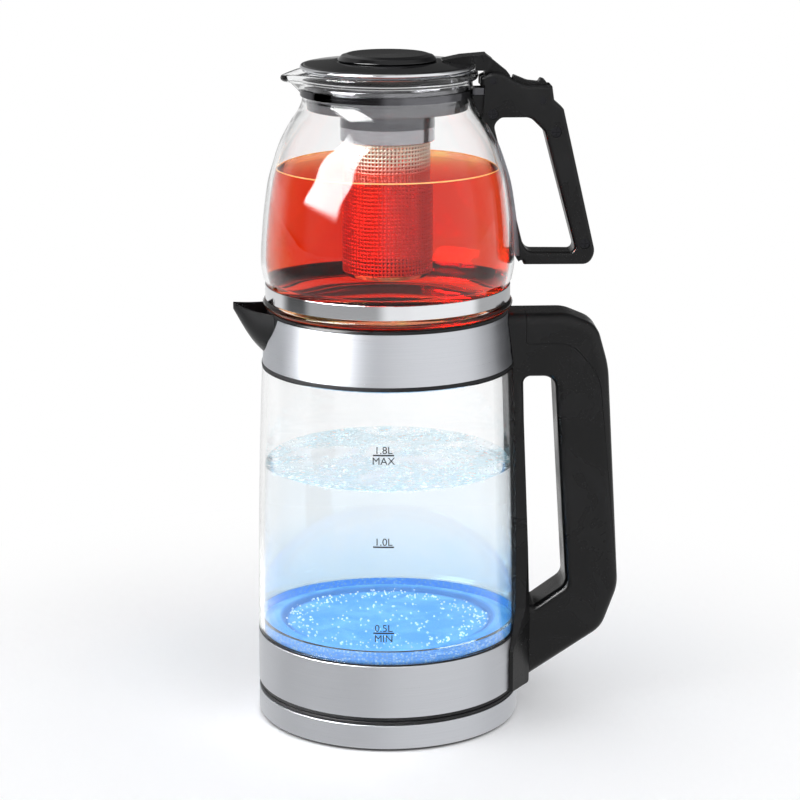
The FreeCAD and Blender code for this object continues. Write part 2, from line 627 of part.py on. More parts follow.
def make_handle_pieces():
    """The handle shell, the outer cover and the strip with its foot bracket."""
    envelope = collar_and_jug_envelope(SEAT)
    blank = handle_blank().cut(envelope)
    cover_zone = plate(cover_outline(), -30, 30)
    cover = blank.common(cover_zone)
    shell_zone = cover_zone.makeOffsetShape(COVER_GAP, 0.01)
    shell = blank.cut(shell_zone)
    pocket = rocker_pocket(0.5)
    pin_hole = rod((ROCKER_X, -ROCKER_HALF_W - 2.6, ROCKER_Z),
                   (ROCKER_X, ROCKER_HALF_W + 2.6, ROCKER_Z), ROCKER_PIN_R + RUN)
    cover = cover.cut(pocket)
    shell = shell.cut(pocket).cut(pin_hole)
    wells = [rod((x, HANDLE_HALF_W - 3, z), (x, HANDLE_HALF_W + 2, z), SCREW_HEAD_R + 0.2)
             for x, z in HANDLE_SCREWS]
    shanks = [rod((x, HANDLE_HALF_W - 14, z), (x, HANDLE_HALF_W, z), SCREW_R + RUN)
              for x, z in HANDLE_SCREWS]
    for hole in wells + shanks:
        shell = shell.cut(hole)
    strip = make_back_strip(envelope)
    shell = shell.cut(strip_blank(COVER_GAP))
    return shell, cover, strip


def strip_blank(gap=0.0):
    """The strip behind the jug: narrow at the top, flaring to a bracket at the foot."""
    low = HANDLE_FOOT_Z - gap
    top = FINGER_TOP_Z + 6.0
    side = plate([(INSIDE_X, low), (STRIP_X_LOW + gap, low, 1.5), (STRIP_X_LOW + gap, LOWER_BAND_TOP + 10.5),
                  (STRIP_X_TOP + gap, FINGER_TOP_Z), (STRIP_X_TOP + gap, top), (INSIDE_X, top)], -60, 60)
    half_top = STRIP_HALF_TOP + gap
    half_low = STRIP_HALF_LOW + gap
    half_foot = BRACKET_HALF + gap
    front = Part.Face(Part.makePolygon([V(INSIDE_X - 5, y, z) for y, z in (
        (-half_top, top), (-half_low, BRACKET_TOP + 22), (-half_foot, BRACKET_TOP),
        (-half_foot, low), (half_foot, low), (half_foot, BRACKET_TOP),
        (half_low, BRACKET_TOP + 22), (half_top, top), (-half_top, top))])).extrude(V(40, 0, 0))
    side_x = BAND_R - 7.1 + gap
    back_x = BAND_R + 8.9 + gap
    plan = column([(INSIDE_X, -36 - gap), (side_x, -36 - gap, 2), (back_x, -12, 6),
                   (back_x, 12, 6), (side_x, 36 + gap, 2), (INSIDE_X, 36 + gap)], low - 1, top + 1)
    return side.common(front).common(plan)


def make_back_strip(envelope):
    return strip_blank().cut(envelope)


def make_handle_screws():
    screws = []
    for x, z in HANDLE_SCREWS:
        head = rod((x, HANDLE_HALF_W - 3 + 0.1, z), (x, HANDLE_HALF_W - 1.2, z), SCREW_HEAD_R)
        shank = rod((x, HANDLE_HALF_W - 13, z), (x, HANDLE_HALF_W - 2.9, z), SCREW_R)
        slot = block(x - 2.2, x + 2.2, HANDLE_HALF_W - 1.9, HANDLE_HALF_W, z - 0.4, z + 0.4)
        screws.append(head.fuse(shank).cut(slot))
    return screws


def make_power_rocker():
    """Rocker switch, flush in the grip's outer face; it tips about the pin across it."""
    face_x = ROCKER_X + ROCKER_T - 1.2
    tilt = math.degrees(math.atan((GRIP_X_LOW - GRIP_X_TOP) / (GRIP_TOP_Z - GRIP_LOW_Z)))
    half = ROCKER_H / 2 - 0.6
    paddle = plate([(face_x - ROCKER_T, -half, 1), (face_x, -half, 1.0), (face_x - 0.9, 0, 12),
                    (face_x, half, 1.0), (face_x - ROCKER_T, half, 1)],
                   -ROCKER_HALF_W + 0.3, ROCKER_HALF_W - 0.3)
    paddle.translate(V(0, 0, ROCKER_Z))
    paddle.rotate(V(ROCKER_X, 0, ROCKER_Z), V(0, 1, 0), -tilt)
    pin = rod((ROCKER_X, -ROCKER_HALF_W - 2.4, ROCKER_Z),
              (ROCKER_X, ROCKER_HALF_W + 2.4, ROCKER_Z), ROCKER_PIN_R)
    return paddle.fuse(pin)


# Teapot

# The body's curve from the groove to the neck: how far out between neck and belly, how far up
SHOULDER_SHARES = [(0.9456, 0), (1, 0.0737), (0.9958, 0.1594), (0.9623, 0.2729), (0.9079, 0.4024),
                   (0.8201, 0.5418), (0.6946, 0.6514), (0.5188, 0.7709), (0.2929, 0.8705),
                   (0.1088, 0.9363), (0, 1)]
POT_SHOULDER = [(NECK_R + (BELLY_R - NECK_R) * out, SHOULDER_LOW + (NECK_LOW - SHOULDER_LOW) * up)
                for out, up in SHOULDER_SHARES]


def curve_through(points):
    spline = Part.BSplineCurve()
    spline.interpolate([V(r, 0, z) for r, z in points])
    return spline.toShape()


def lines_through(points):
    return [Part.LineSegment(V(a[0], 0, a[1]), V(b[0], 0, b[1])).toShape()
            for a, b in zip(points, points[1:])]


def make_pot_glass():
    """Blown glass: heel, lower bulge, groove for the band, body, neck, rim and beak."""
    heel = [(0, HEEL_Z + 0.6), (HEEL_R - 10, HEEL_Z), (HEEL_R - 3, HEEL_Z), (HEEL_R - 0.6, HEEL_Z + 0.9),
            (HEEL_R, HEEL_Z + 3.4), (HEEL_R + 3.0, HEEL_Z + 3.9), (HEEL_R + 4.7, HEEL_Z + 5.1),
            (HEEL_R + 5.2, HEEL_Z + 6.6), (HEEL_R + 4.6, HEEL_Z + 8.1),
            (POT_BAND_R - SHEET - SLIP, BAND_GROOVE_LOW), (POT_BAND_R - SHEET - SLIP, BAND_GROOVE_TOP)]
    outside = lines_through(heel + POT_SHOULDER[:1])
    outside.append(curve_through(POT_SHOULDER))
    rim = [(NECK_R, NECK_LOW), (NECK_R, POT_RIM_LOW - 1.0), (POT_RIM_R - 0.6, POT_RIM_LOW),
           (POT_RIM_R, POT_RIM_LOW + 1.4), (POT_RIM_R, POT_RIM_TOP - 1.0), (POT_RIM_R - 0.8, POT_RIM_TOP),
           (NECK_BORE_R + 0.6, POT_RIM_TOP), (NECK_BORE_R, POT_RIM_TOP - 0.8),
           (NECK_BORE_R, NECK_LOW + 0.4)]
    outside += lines_through(rim)
    inner_curve = [(r - POT_T, z) for r, z in POT_SHOULDER[:-1]]
    inner_curve.append((NECK_BORE_R, NECK_LOW + 0.4))
    inside_low = [inner_curve[0], (HEEL_R + 0.6, BAND_GROOVE_TOP), (HEEL_R + 0.4, BAND_GROOVE_LOW),
                  (HEEL_R + 1.8, HEEL_Z + 6.3), (HEEL_R - 1.0, HEEL_Z + 3.5), (HEEL_R - 7, HEEL_Z + 2.9),
                  (0, HEEL_Z + 3.4), (0, HEEL_Z + 0.6)]
    inside = [curve_through(inner_curve)] + lines_through(inside_low)
    body = Part.Face(Part.Wire(Part.sortEdges(outside + inside)[0])).revolve(V(0, 0, 0), V(0, 0, 1), 360)
    tip_x = NECK_R + 10.6
    beak = spout_shape(NECK_R - 4.6, 17.0, POT_RIM_TOP - 9.0, POT_RIM_TOP - 0.5,
                       tip_x, 2.4, POT_RIM_TOP - 6.6, POT_RIM_TOP - 3.4, 0.85)
    channel = spout_shape(NECK_R - 7.6, 16.6, POT_RIM_TOP - 6.4, POT_RIM_TOP + 2.0,
                          tip_x + 1.0, 0.9, POT_RIM_TOP - 4.6, POT_RIM_TOP - 1.2, 0.85)
    bore = ring(0, NECK_BORE_R, NECK_LOW - 17, POT_RIM_TOP + 5)
    above = block(-tip_x - 20, -NECK_R + 7.6, -30, 30, POT_RIM_LOW - 14, POT_RIM_TOP)
    return body.fuse(beak.common(above)).cut(channel).cut(bore)


def make_pot_band():
    return revolve([(POT_BAND_R - SHEET, BAND_GROOVE_LOW + 0.1), (POT_BAND_R, BAND_GROOVE_LOW + 0.1, 0.3),
                    (POT_BAND_R, BAND_GROOVE_TOP - 0.1, 0.3), (POT_BAND_R - SHEET, BAND_GROOVE_TOP - 0.1)])


def pot_profile_solid(gap):
    """The teapot's outside from bulge to rim, filled and grown by a gap."""
    neck_top = POT_RIM_TOP + 30
    low = [(0, HEEL_Z + 3.7), (BELLY_R - 0.1 + gap, HEEL_Z + 3.7), (BELLY_R - 0.1 + gap, SHOULDER_LOW - 0.6)]
    shoulder = [(r + gap, z + gap * 0.3) for r, z in POT_SHOULDER]
    top = [(POT_RIM_R + gap, POT_RIM_LOW - 1.5), (POT_RIM_R + gap, neck_top), (0, neck_top)]
    edges = lines_through(low + [shoulder[0]]) + [curve_through(shoulder)]
    edges += lines_through([shoulder[-1]] + top + [low[0]])
    return Part.Face(Part.Wire(Part.sortEdges(edges)[0])).revolve(V(0, 0, 0), V(0, 0, 1), 360)


# Offsets of the handle's outline: its head from the neck and the rim, its foot from the belly
CHEEK_HEAD = [(6.2, -9.3, 0), (3.6, -8.2, 0.5), (3.6, -3.4, 1.0), (9.8, -0.6, 3), (16.4, -1.6, 4),
              (22.9, -5.6, 4), (30.4, -8.4, 8), (43.8, -8.2, 1), (45.0, -16.6, 1.5), (50.4, -21.4, 1.5)]
CHEEK_FOOT = [(45.4, 6.6, 9), (42.1, -0.2, 6), (4.9, 0.0, 1.0), (4.1, 2.8, 0.8), (2.1, 1.6, 0)]
GAP_HEAD = [(11.3, -30.0, 5), (15.4, -26.0, 4), (31.8, -26.0, 7), (39.8, -34.0, 5)]
GAP_FOOT = [(34.4, 7.0, 3), (6.9, 7.4, 5), (3.9, 13.2, 6)]


def at_neck(offsets):
    return [(NECK_R + x, POT_RIM_TOP + z, *rest) for x, z, *rest in offsets]


def at_belly(offsets):
    return [(BELLY_R + x, LEG_FOOT_Z + z, *rest) for x, z, *rest in offsets]


BURIED_X = NECK_R + 4.4     # the outline closes here, inside the glass that is cut away
CHEEK_OUTLINE = at_neck(CHEEK_HEAD) + at_belly(CHEEK_FOOT) + [(BURIED_X, LEG_FOOT_Z + 36.2, 0),
                                                              (BURIED_X, POT_RIM_TOP - 33.0, 0)]
FINGER_GAP = at_neck(GAP_HEAD) + at_belly(GAP_FOOT)
POT_SCREWS = at_neck([(10.7, -24.0), (46.2, -34.1)]) + at_belly([(39.4, 11.8)])
PAD_T_TOP = 1.0
PAD_T_LOW = 3.2


def pad_zone():
    """The wedge between the glass and the handle's inner leg that the pad fills."""
    top_z = POT_RIM_TOP - 29.0
    low_z = LEG_FOOT_Z + 4.2
    curve = []
    for i in range(8):
        z = low_z + (top_z - low_z) * i / 7.0
        for (r0, z0), (r1, z1) in zip(POT_SHOULDER, POT_SHOULDER[1:]):
            if z0 <= z <= z1:
                radius = along(z, z0, r0, z1, r1)
        curve.append((radius + along(z, low_z, PAD_T_LOW, top_z, PAD_T_TOP), z))
    edges = [curve_through(curve)]
    edges += lines_through([curve[-1], (30, top_z), (30, low_z), curve[0]])
    return Part.Face(Part.Wire(Part.sortEdges(edges)[0])).revolve(V(0, 0, 0), V(0, 0, 1), 360)


def pot_handle_blank():
    blank = plate(CHEEK_OUTLINE, -CHEEK_T, CHEEK_T).cut(plate(FINGER_GAP, -20, 20))

    def outer_edge(edge):
        box = edge.BoundBox
        on_side = box.YLength < 1e-3 and abs(abs(box.YMin) - CHEEK_T) < 1e-3
        return on_side and box.XMin > NECK_R + 29.4 and box.ZMax < POT_RIM_TOP - 9

    return round_edges(blank, 2.2, outer_edge)


def hinge_slot():
    """Slot between the halves for the lid arm's tongue and the thumb lever."""
    slot = at_neck([(-7.6, 17.0), (-7.6, -14.0), (18.4, -14.0, 3), (24.4, -22.4, 2), (43.0, -22.4, 2),
                    (43.0, 17.0)])
    return plate(slot, -SLOT_HALF, SLOT_HALF)


def make_pot_handle_halves():
    pin_holes = [rod((x, -CHEEK_T - 1, z), (x, CHEEK_T + 1, z), PIN_R + 0.02)
                 for x, z in (LID_PIN, LEVER_PIN)]
    shanks = [rod((x, -CHEEK_T + 2, z), (x, CHEEK_T - 3, z), SCREW_R + RUN) for x, z in POT_SCREWS]
    wells = [rod((x, -CHEEK_T - 1, z), (x, -CHEEK_T + 2.4, z), SCREW_HEAD_R) for x, z in POT_SCREWS]
    blank = pot_handle_blank().cut(pot_profile_solid(SEAT)).cut(pad_zone()).cut(hinge_slot())
    for hole in pin_holes + shanks + wells:
        blank = blank.cut(hole)
    near = blank.common(block(0, BELLY_R + 130, -40, -RUN, LEDGE_Z, POT_RIM_TOP + 50))
    far = blank.common(block(0, BELLY_R + 130, RUN, 40, LEDGE_Z, POT_RIM_TOP + 50))
    return near, far


def make_pot_handle_screws():
    screws = []
    for x, z in POT_SCREWS:
        head = rod((x, -CHEEK_T + 0.8, z), (x, -CHEEK_T + 2.35, z), SCREW_HEAD_R - 0.15)
        shank = rod((x, -CHEEK_T + 2.3, z), (x, CHEEK_T - 3.2, z), SCREW_R)
        slot = block(x - 2.2, x + 2.2, -CHEEK_T, -CHEEK_T + 1.6, z - 0.4, z + 0.4)
        cross = block(x - 0.4, x + 0.4, -CHEEK_T, -CHEEK_T + 1.6, z - 2.2, z + 2.2)
        screws.append(head.fuse(shank).cut(slot).cut(cross))
    return screws


def make_leg_pad():
    pad = pad_zone().cut(pot_profile_solid(0.25))
    inner_x = NECK_R - 7.6
    outer_x = BELLY_R + 18.5
    low_z = LEG_FOOT_Z + 4.6
    top_z = POT_RIM_TOP - 29.6
    zone = plate([(inner_x, low_z), (outer_x, low_z), (outer_x, top_z), (inner_x, top_z)], -6.5, 6.5)
    return pad.common(zone)


def make_neck_strap():
    """Polished strap round the neck under the rim, with two ears clamped in the handle."""
    band = ring(NECK_R + 0.1, NECK_R + 1.1, STRAP_LOW, STRAP_TOP)
    ears = block(NECK_R + 0.6, NECK_R + 6.0, -SLOT_HALF - 1.5, SLOT_HALF + 1.5, STRAP_LOW, STRAP_TOP)
    ears = ears.cut(block(NECK_R + 1.1, NECK_R + 8, -SLOT_HALF + 0.2, SLOT_HALF - 0.2,
                          STRAP_LOW - 1, STRAP_TOP + 1))
    return band.fuse(ears).cut(ring(0, NECK_R + 0.1, STRAP_LOW - 1, STRAP_TOP + 1))


def make_neck_bracket():
    """Black block that backs the handle against the neck, below the strap."""
    body = block(NECK_R - 6, NECK_R + 6.7, -7.0, 7.0, POT_RIM_TOP - 27.0, STRAP_LOW - 0.2)
    reach = POT_RIM_R + 40
    above = block(-reach, reach, -reach, reach, STRAP_LOW - 0.1, POT_RIM_TOP + 77)
    body = body.cut(pot_profile_solid(0.2).cut(above))
    return body.cut(pot_handle_blank())


def make_pin(point, length):
    x, z = point
    return rod((x, -length / 2, z), (x, length / 2, z), PIN_R)


# Lid, lever and infuser

def make_lid_shell():
    return revolve([(0, DOME_TOP - 2.0), (DOME_R, DOME_TOP - 2.0, 10),
                    (NECK_BORE_R - 1.0, LID_LOW + 0.6, 1.0),
                    (LID_R - 2.2, LID_LOW + 0.6), (LID_R - 2.2, LID_TOP, 0.8),
                    (DOME_R, DOME_TOP, 14), (0, DOME_TOP)])


def make_lid_trim():
    return revolve([(LID_R - 2.1, LID_LOW + 0.6), (LID_R - 0.8, LID_LOW + 0.6, 0.6),
                    (LID_R, LID_LOW + 1.8, 0.9), (LID_R - 0.8, LID_TOP - 0.3, 0.6),
                    (LID_R - 2.1, LID_TOP - 0.3)])


def make_lid_seal():
    inner = NECK_BORE_R - 0.6
    outer = LID_R - 1.5
    return revolve([(inner, LID_LOW + 0.55), (inner, LID_LOW + 0.05, 0.2), (outer, LID_LOW + 0.05, 0.2),
                    (outer, LID_LOW + 0.55)])


def make_lid_knob():
    return revolve([(0, DOME_TOP + 0.05), (KNOB_R - 1.4, DOME_TOP + 0.05, 0.4),
                    (KNOB_R, DOME_TOP + 0.6, 0.5), (KNOB_TOP_R, KNOB_TOP - 1.0, 1.2),
                    (KNOB_TOP_R - 3.4, KNOB_TOP, 2.0), (0, KNOB_TOP - 0.4)])


LID_ARM_SIDE = [(DOME_R, DOME_TOP - 6.4, 0), (DOME_R, DOME_TOP + 0.5, 0.5), (LID_R - 8.5, DOME_TOP + 2.6, 4),
                (LID_R + 5.8, DOME_TOP + 3.6, 1.2), (LID_R + 6.4, DOME_TOP + 2.8, 0),
                (LID_R + 9.6, DOME_TOP + 0.4, 0), (LID_R + 8.0, DOME_TOP - 2.0, 0),
                (LID_R + 6.0, DOME_TOP - 5.4, 0)]
# Offsets of the tongue's outline from the hinge pin, and of the lever's from its own pin
TONGUE = [(-8.2, 6.2, 0), (-8.2, 12.2, 0), (-3.0, 13.6, 0.8), (8.4, 4.4, 1.2), (10.4, 1.8, 1),
          (5.8, -1.4, 1), (5.2, -4.4, 3), (0.0, -6.2, 4), (-5.2, -1.8, 3), (-5.2, 5.8, 0)]
LEVER = [(-16.6, 11.0, 0.6), (-16.3, 13.6, 0.8), (-8.2, 10.3, 6), (-2.2, 9.6, 1), (-1.0, 11.7, 1),
         (1.2, 11.0, 1), (3.0, 8.6, 1), (3.0, 4.4, 2), (3.8, -1.6, 3), (-2.2, -4.2, 3), (-6.2, 0.4, 4)]


def about_pin(pin, offsets):
    return [(pin[0] + x, pin[1] + z, radius) for x, z, radius in offsets]


def make_lid_arm():
    """The arm: wide over the lid, with a tongue round the hinge pin between the halves."""
    wide = plate(LID_ARM_SIDE, -CHEEK_T, CHEEK_T)
    near_x = KNOB_R - 2.0
    wide_x = LID_R + 7.0
    far_x = LID_R + 13.0
    taper = column([(near_x, -6.5), (wide_x, -CHEEK_T), (far_x, -CHEEK_T), (far_x, CHEEK_T),
                    (wide_x, CHEEK_T), (near_x, 6.5)], LID_LOW - 13, LID_LOW + 17)
    wide = wide.common(taper)
    tongue = plate(about_pin(LID_PIN, TONGUE), -ARM_HALF, ARM_HALF)
    hub = rod((LID_PIN[0], -ARM_HALF, LID_PIN[1]), (LID_PIN[0], ARM_HALF, LID_PIN[1]), HUB_R)
    arm = wide.fuse(tongue).fuse(hub)
    below = LID_LOW - 23
    under_lid = revolve([(0, below), (LID_R + SLIP, below), (LID_R + SLIP, LID_TOP + SLIP),
                         (LID_R - 2.2, LID_TOP + SLIP), (DOME_R, DOME_TOP + SLIP, 14), (0, DOME_TOP + SLIP)])
    hole = rod((LID_PIN[0], -20, LID_PIN[1]), (LID_PIN[0], 20, LID_PIN[1]), PIN_R + RUN)
    knob_room = ring(0, KNOB_R + SLIP, below, KNOB_TOP + 16)
    strap_room = block(NECK_R - 7.6, NECK_R + 6.2, -20, 20, below - 10, LID_LOW)
    return arm.cut(under_lid).cut(hole).cut(knob_room).cut(strap_room)


def make_thumb_lever():
    """Lever under the thumb; its nose bears on the lid arm's hub and lifts the lid."""
    lever = plate(about_pin(LEVER_PIN, LEVER), -ARM_HALF, ARM_HALF)
    hole = rod((LEVER_PIN[0], -20, LEVER_PIN[1]), (LEVER_PIN[0], 20, LEVER_PIN[1]), PIN_R + RUN)
    return lever.cut(hole)


def make_infuser_skirt():
    """Polished neck ring: hangs on the pot's rim lip inside and carries the basket."""
    return revolve([(SKIRT_R - 1.0, SKIRT_LOW + 0.8), (CUP_R + 0.2, SKIRT_LOW + 0.8, 0.5),
                    (CUP_R + 0.2, SKIRT_LOW, 0), (SKIRT_R, SKIRT_LOW, 0.8), (SKIRT_R, SKIRT_TOP, 0.4),
                    (SKIRT_R - 1.0, SKIRT_TOP, 0.3)])


def make_infuser_cup():
    """Dark ring between the skirt and the basket."""
    return revolve([(CUP_R - 1.2, CUP_LOW), (CUP_R, CUP_LOW, 0.4), (CUP_R, CUP_LOW + 7.4, 0.4),
                    (CUP_R + 0.1, CUP_LOW + 8.0, 0.4), (CUP_R + 0.1, SKIRT_LOW + 1.6, 0.4),
                    (CUP_R - 1.2, SKIRT_LOW + 1.6)])


def make_infuser_basket():
    r_in = BASKET_R - 0.6
    return ring(r_in, BASKET_R, BASKET_LOW + 3.0, CUP_LOW + 4.0).fuse(
        revolve([(r_in, CUP_LOW + 3.0), (CUP_R - 1.25, CUP_LOW + 3.0), (CUP_R - 1.25, CUP_LOW + 4.0),
                 (r_in, CUP_LOW + 4.0)]))


def make_infuser_bottom():
    return revolve([(0, BASKET_LOW), (BASKET_R - 2.5, BASKET_LOW, 2), (BASKET_R, BASKET_LOW + 2.95, 1),
                    (BASKET_R - 0.7, BASKET_LOW + 2.95), (BASKET_R - 3.2, BASKET_LOW + 0.8, 1.2),
                    (0, BASKET_LOW + 0.8)])


def main():
    os.makedirs("parts", exist_ok=True)
    save("base_housing", make_base_housing())
    save("base_band", make_base_band())
    save("base_deck", make_base_deck())
    save("base_screws", make_base_screws())
    save("base_feet", make_base_feet())
    save("base_connector", make_base_connector())
    save("base_contacts", make_base_contacts())
    save("cable_inlet", make_cable_inlet())

    save("kettle_base_shell", make_kettle_base_shell())
    save("kettle_lower_band", make_kettle_lower_band())
    save("plate_carrier", make_plate_carrier())
    save("lower_gasket", make_lower_gasket())
    save("light_ring", make_light_ring())
    save("heating_plate", make_heating_plate())
    save("heat_spreader", make_heat_spreader())
    save("heating_element", make_heating_element())
    save("control_unit", make_control_unit())
    save("socket_contacts", make_socket_contacts())
    save("led_ring", make_led_ring())
    save("glass_jug", make_glass_jug())
    save("upper_gasket", make_upper_gasket())
    save("steel_collar", make_steel_collar())
    rim, spout = make_rim_and_spout()
    save("kettle_rim", rim)
    save("kettle_spout", spout)
    save("spout_filter", make_spout_filter())
    shell, cover, strip = make_handle_pieces()
    save("kettle_handle_shell", shell)
    save("kettle_handle_cover", cover)
    save("back_strip", strip)
    save("kettle_handle_screws", make_handle_screws())
    save("power_rocker", make_power_rocker())

    save("pot_glass", make_pot_glass())
    save("pot_band", make_pot_band())
    near, far = make_pot_handle_halves()
    save("pot_handle_near", near)
    save("pot_handle_far", far)
    save("pot_handle_screws", make_pot_handle_screws())
    save("pot_leg_pad", make_leg_pad())
    save("neck_strap", make_neck_strap())
    save("neck_bracket", make_neck_bracket())
    save("lid_hinge_pin", make_pin(LID_PIN, 2 * CHEEK_T - 1))
    save("lever_pin", make_pin(LEVER_PIN, 2 * CHEEK_T - 1))
    save("thumb_lever", make_thumb_lever())

    save("lid_shell", make_lid_shell())
    save("lid_trim", make_lid_trim())
    save("lid_seal", make_lid_seal())
    save("lid_knob", make_lid_knob())
    save("lid_arm", make_lid_arm())

    save("infuser_skirt", make_infuser_skirt())
    save("infuser_cup", make_infuser_cup())
    save("infuser_basket", make_infuser_basket())
    save("infuser_bottom", make_infuser_bottom())


main()
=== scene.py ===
# %% [markdown]
# # A glass tea maker, finished
#
# The object is two vessels on one axis. A glass kettle with steel bands stands on
# a flat power base, and a glass teapot full of tea sits in the kettle's mouth.
# The imported model already holds every real piece at its real place, so this
# lesson adds what that model can't hold: smooth blown glass, liquids, froth,
# printed level marks, a sheet full of holes, and the finishes.
#
# The first cell loads the imported model and keeps its box, which later sets the
# floor's height and the point the lamps look at. The first cell loads the
# imported model and keeps its box, because every later piece has to stay inside
# it.

# %% Load the imported model
import math

import bmesh
import bpy
import numpy as np
from mathutils import Euler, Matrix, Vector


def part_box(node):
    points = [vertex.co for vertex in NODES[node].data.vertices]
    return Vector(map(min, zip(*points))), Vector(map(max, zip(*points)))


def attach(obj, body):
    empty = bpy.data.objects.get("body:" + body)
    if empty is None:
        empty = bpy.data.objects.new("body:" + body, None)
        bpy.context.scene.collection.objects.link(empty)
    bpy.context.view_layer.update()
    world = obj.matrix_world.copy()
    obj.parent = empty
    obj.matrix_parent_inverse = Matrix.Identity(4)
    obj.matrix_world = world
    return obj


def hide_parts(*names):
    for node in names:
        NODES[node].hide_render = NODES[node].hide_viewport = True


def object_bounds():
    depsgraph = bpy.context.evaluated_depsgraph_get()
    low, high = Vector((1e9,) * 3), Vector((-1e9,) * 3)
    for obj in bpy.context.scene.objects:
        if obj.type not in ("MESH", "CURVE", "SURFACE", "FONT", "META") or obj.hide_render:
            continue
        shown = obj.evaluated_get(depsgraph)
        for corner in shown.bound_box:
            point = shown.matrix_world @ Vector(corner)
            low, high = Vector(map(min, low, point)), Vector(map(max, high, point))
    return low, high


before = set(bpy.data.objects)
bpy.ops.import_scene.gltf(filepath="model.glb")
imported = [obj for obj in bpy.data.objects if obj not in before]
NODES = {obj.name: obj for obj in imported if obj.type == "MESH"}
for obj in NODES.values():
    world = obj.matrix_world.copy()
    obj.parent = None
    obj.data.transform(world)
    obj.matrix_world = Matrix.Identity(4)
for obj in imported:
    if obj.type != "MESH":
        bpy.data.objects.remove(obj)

CAD_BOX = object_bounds()
MM = 0.001

# %% [markdown]
# ## The camera
#
# The camera could be placed by eye, but then every later comparison would mix up
# a wrong shape with a wrong view. Here its place was worked out from the rings of
# the object: each ring is a circle in space and an ellipse in the picture, and ten
# such ellipses fix the distance, the height and the focal length. The camera
# stands 1.44 m from the axis, a little to the left, and looks down by 14 degrees.

# %% Camera
CAMERA_DISTANCE = 1.441         # from the object's axis, level
CAMERA_HEIGHT = 0.546
CAMERA_AZIMUTH = math.radians(-3.0)
CAMERA_PITCH = math.radians(-14.10)
CAMERA_SHIFT = 0.007            # the axis lies this far left of the middle of the view
CAMERA_LENS = 116.64
SENSOR_WIDTH = 36.0


def make_camera():
    """A camera at the photograph's viewing angle: level distance, height, azimuth and pitch."""
    lens = bpy.data.cameras.new("camera")
    lens.lens = CAMERA_LENS
    lens.sensor_width = SENSOR_WIDTH
    lens.clip_start, lens.clip_end = 0.05, 20.0
    camera = bpy.data.objects.new("camera", lens)
    bpy.context.scene.collection.objects.link(camera)
    sine, cosine = math.sin(CAMERA_AZIMUTH), math.cos(CAMERA_AZIMUTH)
    camera.location = (sine * CAMERA_DISTANCE + cosine * CAMERA_SHIFT,
                       -cosine * CAMERA_DISTANCE + sine * CAMERA_SHIFT, CAMERA_HEIGHT)
    camera.rotation_euler = Euler((math.pi / 2 + CAMERA_PITCH, 0, CAMERA_AZIMUTH), "XYZ")
    bpy.context.scene.camera = camera
    return camera


camera = make_camera()
print("camera at", [round(x, 3) for x in camera.location])

# %% [markdown]
# ## Small helpers for shader nodes
#
# A material could be wired node by node, but that takes four lines a node and
# hides the idea. Two helpers are enough: one adds a node and sets its properties,
# and feeds each input with a plain value or with another node's output. Groups get
# a helper of their own, which makes the named inputs and outputs first.

# %% Node helpers
def feed(tree, socket, value):
    """Sets a socket to a plain value, or links another node's output to it."""
    if isinstance(value, bpy.types.NodeSocket):
        tree.links.new(value, socket)
    else:
        socket.default_value = value


def add(tree, kind, inputs=None, **properties):
    """Adds one shader node, sets its properties and feeds its inputs."""
    node = tree.nodes.new("ShaderNode" + kind)
    for name, value in properties.items():
        setattr(node, name, value)
    for name, value in (inputs or {}).items():
        feed(tree, node.inputs[name], value)
    return node


def math_node(tree, operation, first, second=0.0, third=0.0, clamp=False):
    """The output of one Math node."""
    inputs = {0: first, 1: second, 2: third}
    return add(tree, "Math", inputs, operation=operation, use_clamp=clamp).outputs[0]


def ramp(tree, value, low, high, start=0.0, end=1.0):
    """A smooth step: start below low, end above high, and an S curve in between."""
    inputs = {"Value": value, "From Min": low, "From Max": high, "To Min": start, "To Max": end}
    return add(tree, "MapRange", inputs, interpolation_type="SMOOTHSTEP").outputs["Result"]


def blend_colours(tree, share, first, second):
    """The output of a colour mix: first at share 0, second at share 1."""
    node = add(tree, "Mix", data_type="RGBA")
    feed(tree, node.inputs["Factor"], share)
    feed(tree, node.inputs[6], first)
    feed(tree, node.inputs[7], second)
    return node.outputs[2]


print("node helpers ready")

# %% [markdown]
# ## The studio
#
# Glass and steel have almost no look of their own: they show the room. So the room
# is drawn first. It could be built of cards and lamps, but those would get in the
# way of other views. Here it is a pattern by direction, a sum of patches with soft
# edges. A large bright panel lies on the right and a pale strip far on the left.
# A leaning window on the left draws the tall highlight on the teapot. A dark flag,
# a dark table edge just below level and a dark back give the steel its dark bands.
# A mirror that looks well down sees even ground.

# %% Studio pattern
WALL_GREY = 0.52                # what a mirror sees where no patch lies
GROUND_GREY = 0.86              # what it sees when it looks well down
GROUND_SHARE = 0.85             # how far the room gives way to it
GROUND_LIMITS = (-19, -12)      # the ground gives way to the room between these elevations
WINDOW_LEAN = 0.6               # degrees of azimuth a degree of height
# A patch has what it adds, the direction that it follows, and its limits in that direction and
# in elevation, in degrees: from, to, softness. None is without limits, and a limit past 180
# is never reached.
ROOM = {
    "bright panel on the right": (0.62, "azimuth", (-8, 88, 7), (-60, 58, 6)),
    "dark back": (-0.44, "either side", (117.5, 250, 17.5), (2, 64, 2)),
    "window on the left": (34.0, "leaning", (-90, -53, 1.5), (4, 46, 1.5)),
    "pale strip far on the left": (0.40, "azimuth", (-176, -118, 5), None),
    "dark flag on the left": (-0.36, "azimuth", (-112, -84, 6), None),
    "dark table edge": (-0.46, "azimuth", (-170, 18, 6), (-11, -4, 1.0)),
    "ceiling": (0.10, "azimuth", None, (61, 200, 11)),
}


def window(tree, value, low, high, soft):
    """1 between low and high and 0 outside, with soft edges."""
    rise = ramp(tree, value, low - soft, low + soft)
    fall = ramp(tree, value, high - soft, high + soft, 1.0, 0.0)
    return math_node(tree, "MULTIPLY", rise, fall)


